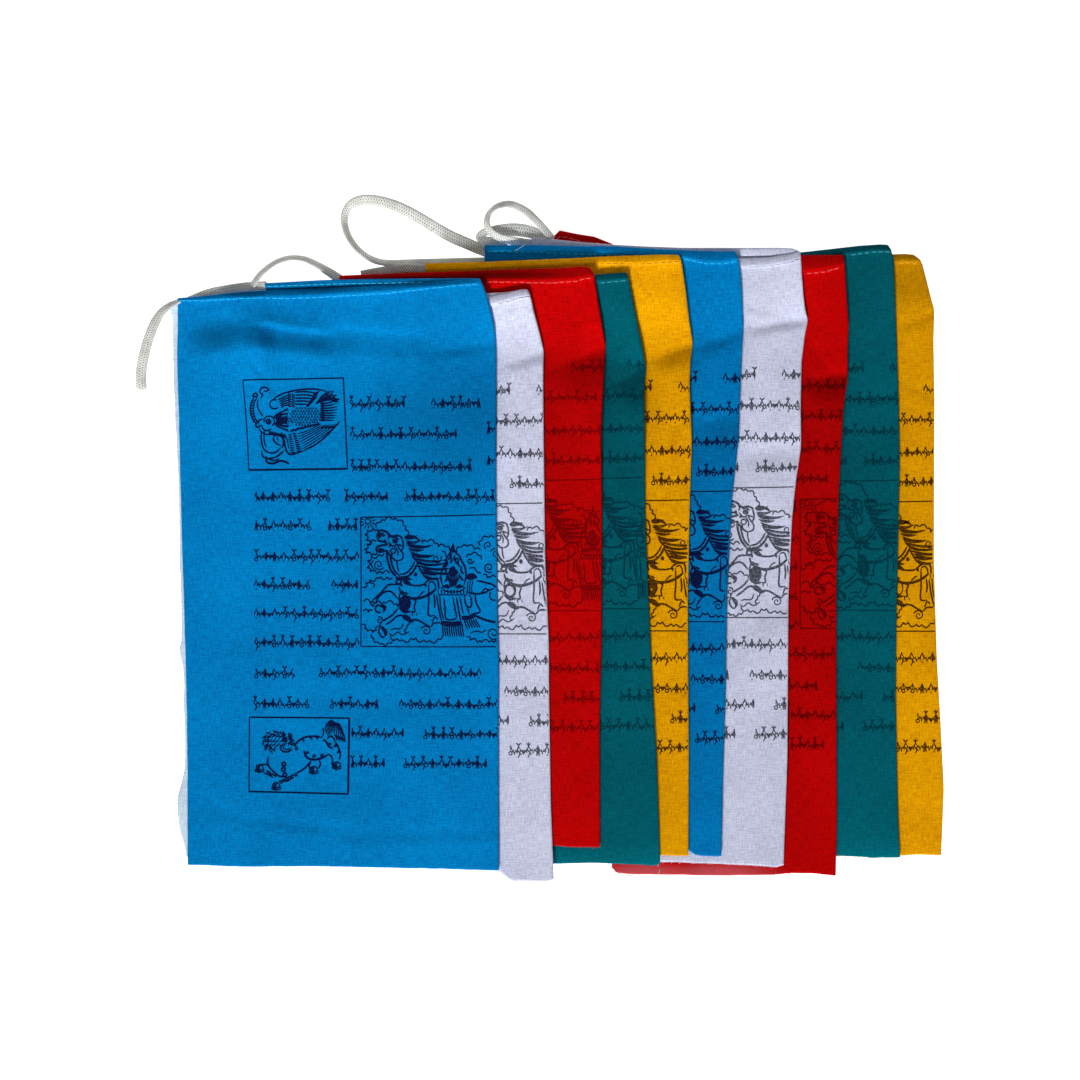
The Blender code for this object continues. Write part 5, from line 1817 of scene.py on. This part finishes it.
# How long the loose threads of each lower edge are, in plan units.
FRAY = (0.5, 0.25, 0.35, 0.2, 0.35, 0.25, 0.25, 0.5, 0.35, 0.5)
for k, flag in enumerate(FLAGS):
    rng = np.random.RandomState(900 + k)
    hairs = Threads()
    x = flag["left"][0] + (flag["slant"] if flag["slant"] else 0) + 1.0
    end = fold_x(k, foot_y(k, flag["left"][0] + 200)) - 2.0
    while x < end:
        y = float(foot_y(k, x))
        seen = float(cover(k, np.array([x]), np.array([y + 1.0]), 0.5)[0]) < 0.5
        if seen:
            hit, normal = surface(k, x, y - 1.5)
            if hit is not None:
                z = hit.z - SHEET / 2
                reach = min(rng.gamma(1.6, FRAY[k]) + 0.3, 5.0)
                lean = rng.normal(0, 0.35 + 0.2 * reach)
                droop = max(0.12e-3, z - 0.5e-3 * reach)
                pts = place([x, x + 0.4 * lean, x + lean], [y - 1.4, y + 0.4 * reach, y + reach], [z, z, droop])
                hairs.add(pts, rng.uniform(0.06e-3, 0.12e-3), 4, False)
        x += rng.uniform(0.9, 2.6)
    thing = hairs.build(flag["name"] + "_fray", FIBRES[flag["colour"]])
    flag["fray"] = thing

# The undyed selvedge beside the first flag's open edge.
EDGE_WIDTH = (
    (304, 8), (310, 8.4), (316, 6), (325, 4.6), (350, 4.2), (400, 4.6), (440, 3.4), (480, 2.2), (540, 2.6), (560, 3.4),
    (600, 3.0), (625, 3.4), (640, 4.0), (650, 6.6), (658, 5.0), (668, 2.8), (690, 2.2), (708, 3.2), (730, 2.2),
    (755, 2.2), (770, 3.2), (785, 6.4), (796, 10.2), (808, 10.6), (818, 9.4), (830, 8.0), (842, 4.6), (850, 2.4), (859, 1.0),
)  # fmt: skip
ys = np.arange(304.0, 859.1, 2.2)
inner = left_x(0, "front", ys)
wide = table(EDGE_WIDTH, ys)
wide = np.convolve(np.pad(wide, 2, mode="edge"), np.array([1, 2, 3, 2, 1]) / 9.0, "valid")
wide = wide * (1 + 0.07 * noise2(ys / 6.0, 0.5, 77))
near = []
for sy, sx in zip(ys, inner):
    hit, normal = surface(0, float(sx) + 1.6, float(sy))
    near.append(hit.z - SHEET - 0.1e-3 if hit is not None else 0.4e-3)
near = np.maximum(np.array(near), 0.2e-3)
shares = np.array([0.0, 0.25, 0.5, 0.75, 1.0])
sheet_x = inner[:, None] + 1.2 - (wide[:, None] + 1.2) * shares[None]
sheet_z = np.maximum(near[:, None] * (1 - 0.9 * shares[None] ** 0.7), 0.16e-3)
sheet_z = sheet_z + 0.3e-3 * np.sin(np.pi * shares[None]) * np.clip(wide[:, None] / 10.0, 0, 1)
sheet_points = place(sheet_x, ys[:, None] + 0 * sheet_x, sheet_z)
selvedge = grid_mesh("flag_01_blue_selvedge", sheet_points, sheet_points[..., :2], 0.2e-3)
selvedge.data.materials.append(woven("selvedge", linear(222, 236, 250), linear(176, 202, 220)))
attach(selvedge, "root")
FLAGS[0]["selvedge"] = selvedge


def stray(points, radius=0.13e-3, material=pale_fibre, name="thread", lift=0.3e-3):
    """A loose thread through (x, y, z mm); the caller fills in a z of None, lying on what is there."""
    out = []
    for x, y, z in smooth_route(np.array([(p[0], p[1], p[2]) for p in points], float), 1.2)[0]:
        out.append(place(x, y, max(z * 1e-3, radius + 0.03e-3)))
    made = Threads()
    made.add(np.array(out), radius, 6, False)
    thing = made.build(name, material)
    return thing


def height_at(x, y):
    best = 0.0
    for k in range(len(FLAGS)):
        hit, _ = surface(k, x, y)
        if hit is not None:
            best = max(best, hit.z)
    return best * 1e3


STRAYS = []
for n, (route, lifts, material, owner) in enumerate((
    (((432.5, 229, 3.0), (429.5, 233, 3.4), (425, 236.5, 2.4), (422.4, 241, 1.0), (421.4, 244.5, 0.4)), None, pale_fibre, "cord_white"),
    (((524.5, 245.2, None), (520, 247.6, None), (517, 249.6, None), (514.6, 250.8, None)), 0.5, pale_fibre, "cloth_blue"),
    (((659, 861, None), (657.4, 866, None), (659.2, 871, None), (657.8, 874, None)), 0.3, pale_fibre, "cloth_red"),
    (((782, 873, None), (788, 874.6, None), (793.4, 877.4, 0.4), (791.4, 881, 0.3), (788.4, 879.4, 0.3), (791, 876.4, 0.6)), 0.3, FIBRES["red"], "cloth_red"),
    (((612.6, 866, 2.6), (609.5, 869, 1.6), (611.5, 873, 0.8), (608.6, 876, 0.3)), 0.3, FIBRES["red"], "cloth_red"),
    (((617, 873, 2.4), (622, 876.6, 0.6), (629, 877.4, 0.3), (634, 875.8, 0.5)), 0.3, FIBRES["red"], "cloth_red"),
)):
    points = [(x, y, z if z is not None else height_at(x, y) + lifts) for x, y, z in route]
    thing = stray(points, 0.12e-3, material, f"loose_thread_{n + 1}")
    STRAYS.append(thing)

# Fluff where the cords cross by the fourth and fifth flags.
fluff = Threads()
rng = np.random.RandomState(61)
for _ in range(46):
    cx, cy = rng.uniform(405, 422), rng.uniform(259.5, 266)
    base = 5.2 if cy > 264 else 3.0
    a = rng.uniform(0, 2 * np.pi)
    r = rng.uniform(1.2, 3.4)
    pts = place(
        [cx, cx + 0.5 * r * math.cos(a), cx + r * math.cos(a + 0.5)],
        [cy, cy + 0.5 * r * math.sin(a), cy + 0.8 * r * math.sin(a + 0.5)],
        np.array([base - 0.6, base + 0.2, base - 0.3]) * 1e-3,
    )
    fluff.add(pts, 0.09e-3, 4, False)
fluff_thing = fluff.build("cord_fluff", pale_fibre)

for k, flag in enumerate(FLAGS):
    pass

# ------------------------------------------------------------ floor and light
floor_mesh = bpy.data.meshes.new("floor")
floor_mesh.from_pydata(
    [(-3, -3, 0), (3, -3, 0), (3, 3, 0), (-3, 3, 0)], [], [(0, 1, 2, 3)]
)
floor = bpy.data.objects.new("floor", floor_mesh)
bpy.context.scene.collection.objects.link(floor)
paper = bpy.data.materials.new("pale_floor")
paper.use_nodes = True
paper.node_tree.nodes["Principled BSDF"].inputs["Base Color"].default_value = (0.9, 0.9, 0.9, 1)
paper.node_tree.nodes["Principled BSDF"].inputs["Roughness"].default_value = 0.95
paper.node_tree.nodes["Principled BSDF"].inputs["Specular IOR Level"].default_value = 0.0
paper.node_tree.nodes["Principled BSDF"].inputs["Emission Color"].default_value = (1, 1, 1, 1)
paper.node_tree.nodes["Principled BSDF"].inputs["Emission Strength"].default_value = 0.9
floor_mesh.materials.append(paper)
floor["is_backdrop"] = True

world = bpy.data.worlds.new("soft_room")
world.use_nodes = True
world.node_tree.nodes["Background"].inputs["Color"].default_value = (1, 1, 1, 1)
world.node_tree.nodes["Background"].inputs["Strength"].default_value = 0.30
bpy.context.scene.world = world

aim = Vector((-0.012, 0.009, 0.0))
key = bpy.data.lights.new("key", "SUN")
key.energy = 3.5
key.angle = math.radians(13)
key_thing = bpy.data.objects.new("key", key)
key_thing.location = (-0.3, -1.6, 1.2)
key_thing.rotation_euler = (-Vector((-0.16, -0.80, 0.58))).to_track_quat("-Z", "Y").to_euler()
bpy.context.scene.collection.objects.link(key_thing)

lens = bpy.data.cameras.new("from_above")
lens.lens = 120.0
lens.sensor_width = 36.0
camera = bpy.data.objects.new("from_above", lens)
camera.location = (aim.x, aim.y, 0.6156 * 120 / 36 + 0.008)
camera.rotation_euler = (0, 0, 0)
bpy.context.scene.collection.objects.link(camera)
bpy.context.scene.camera = camera
bpy.context.scene.view_settings.view_transform = "Standard"

seen = [[float(v) for v in corner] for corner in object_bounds()]
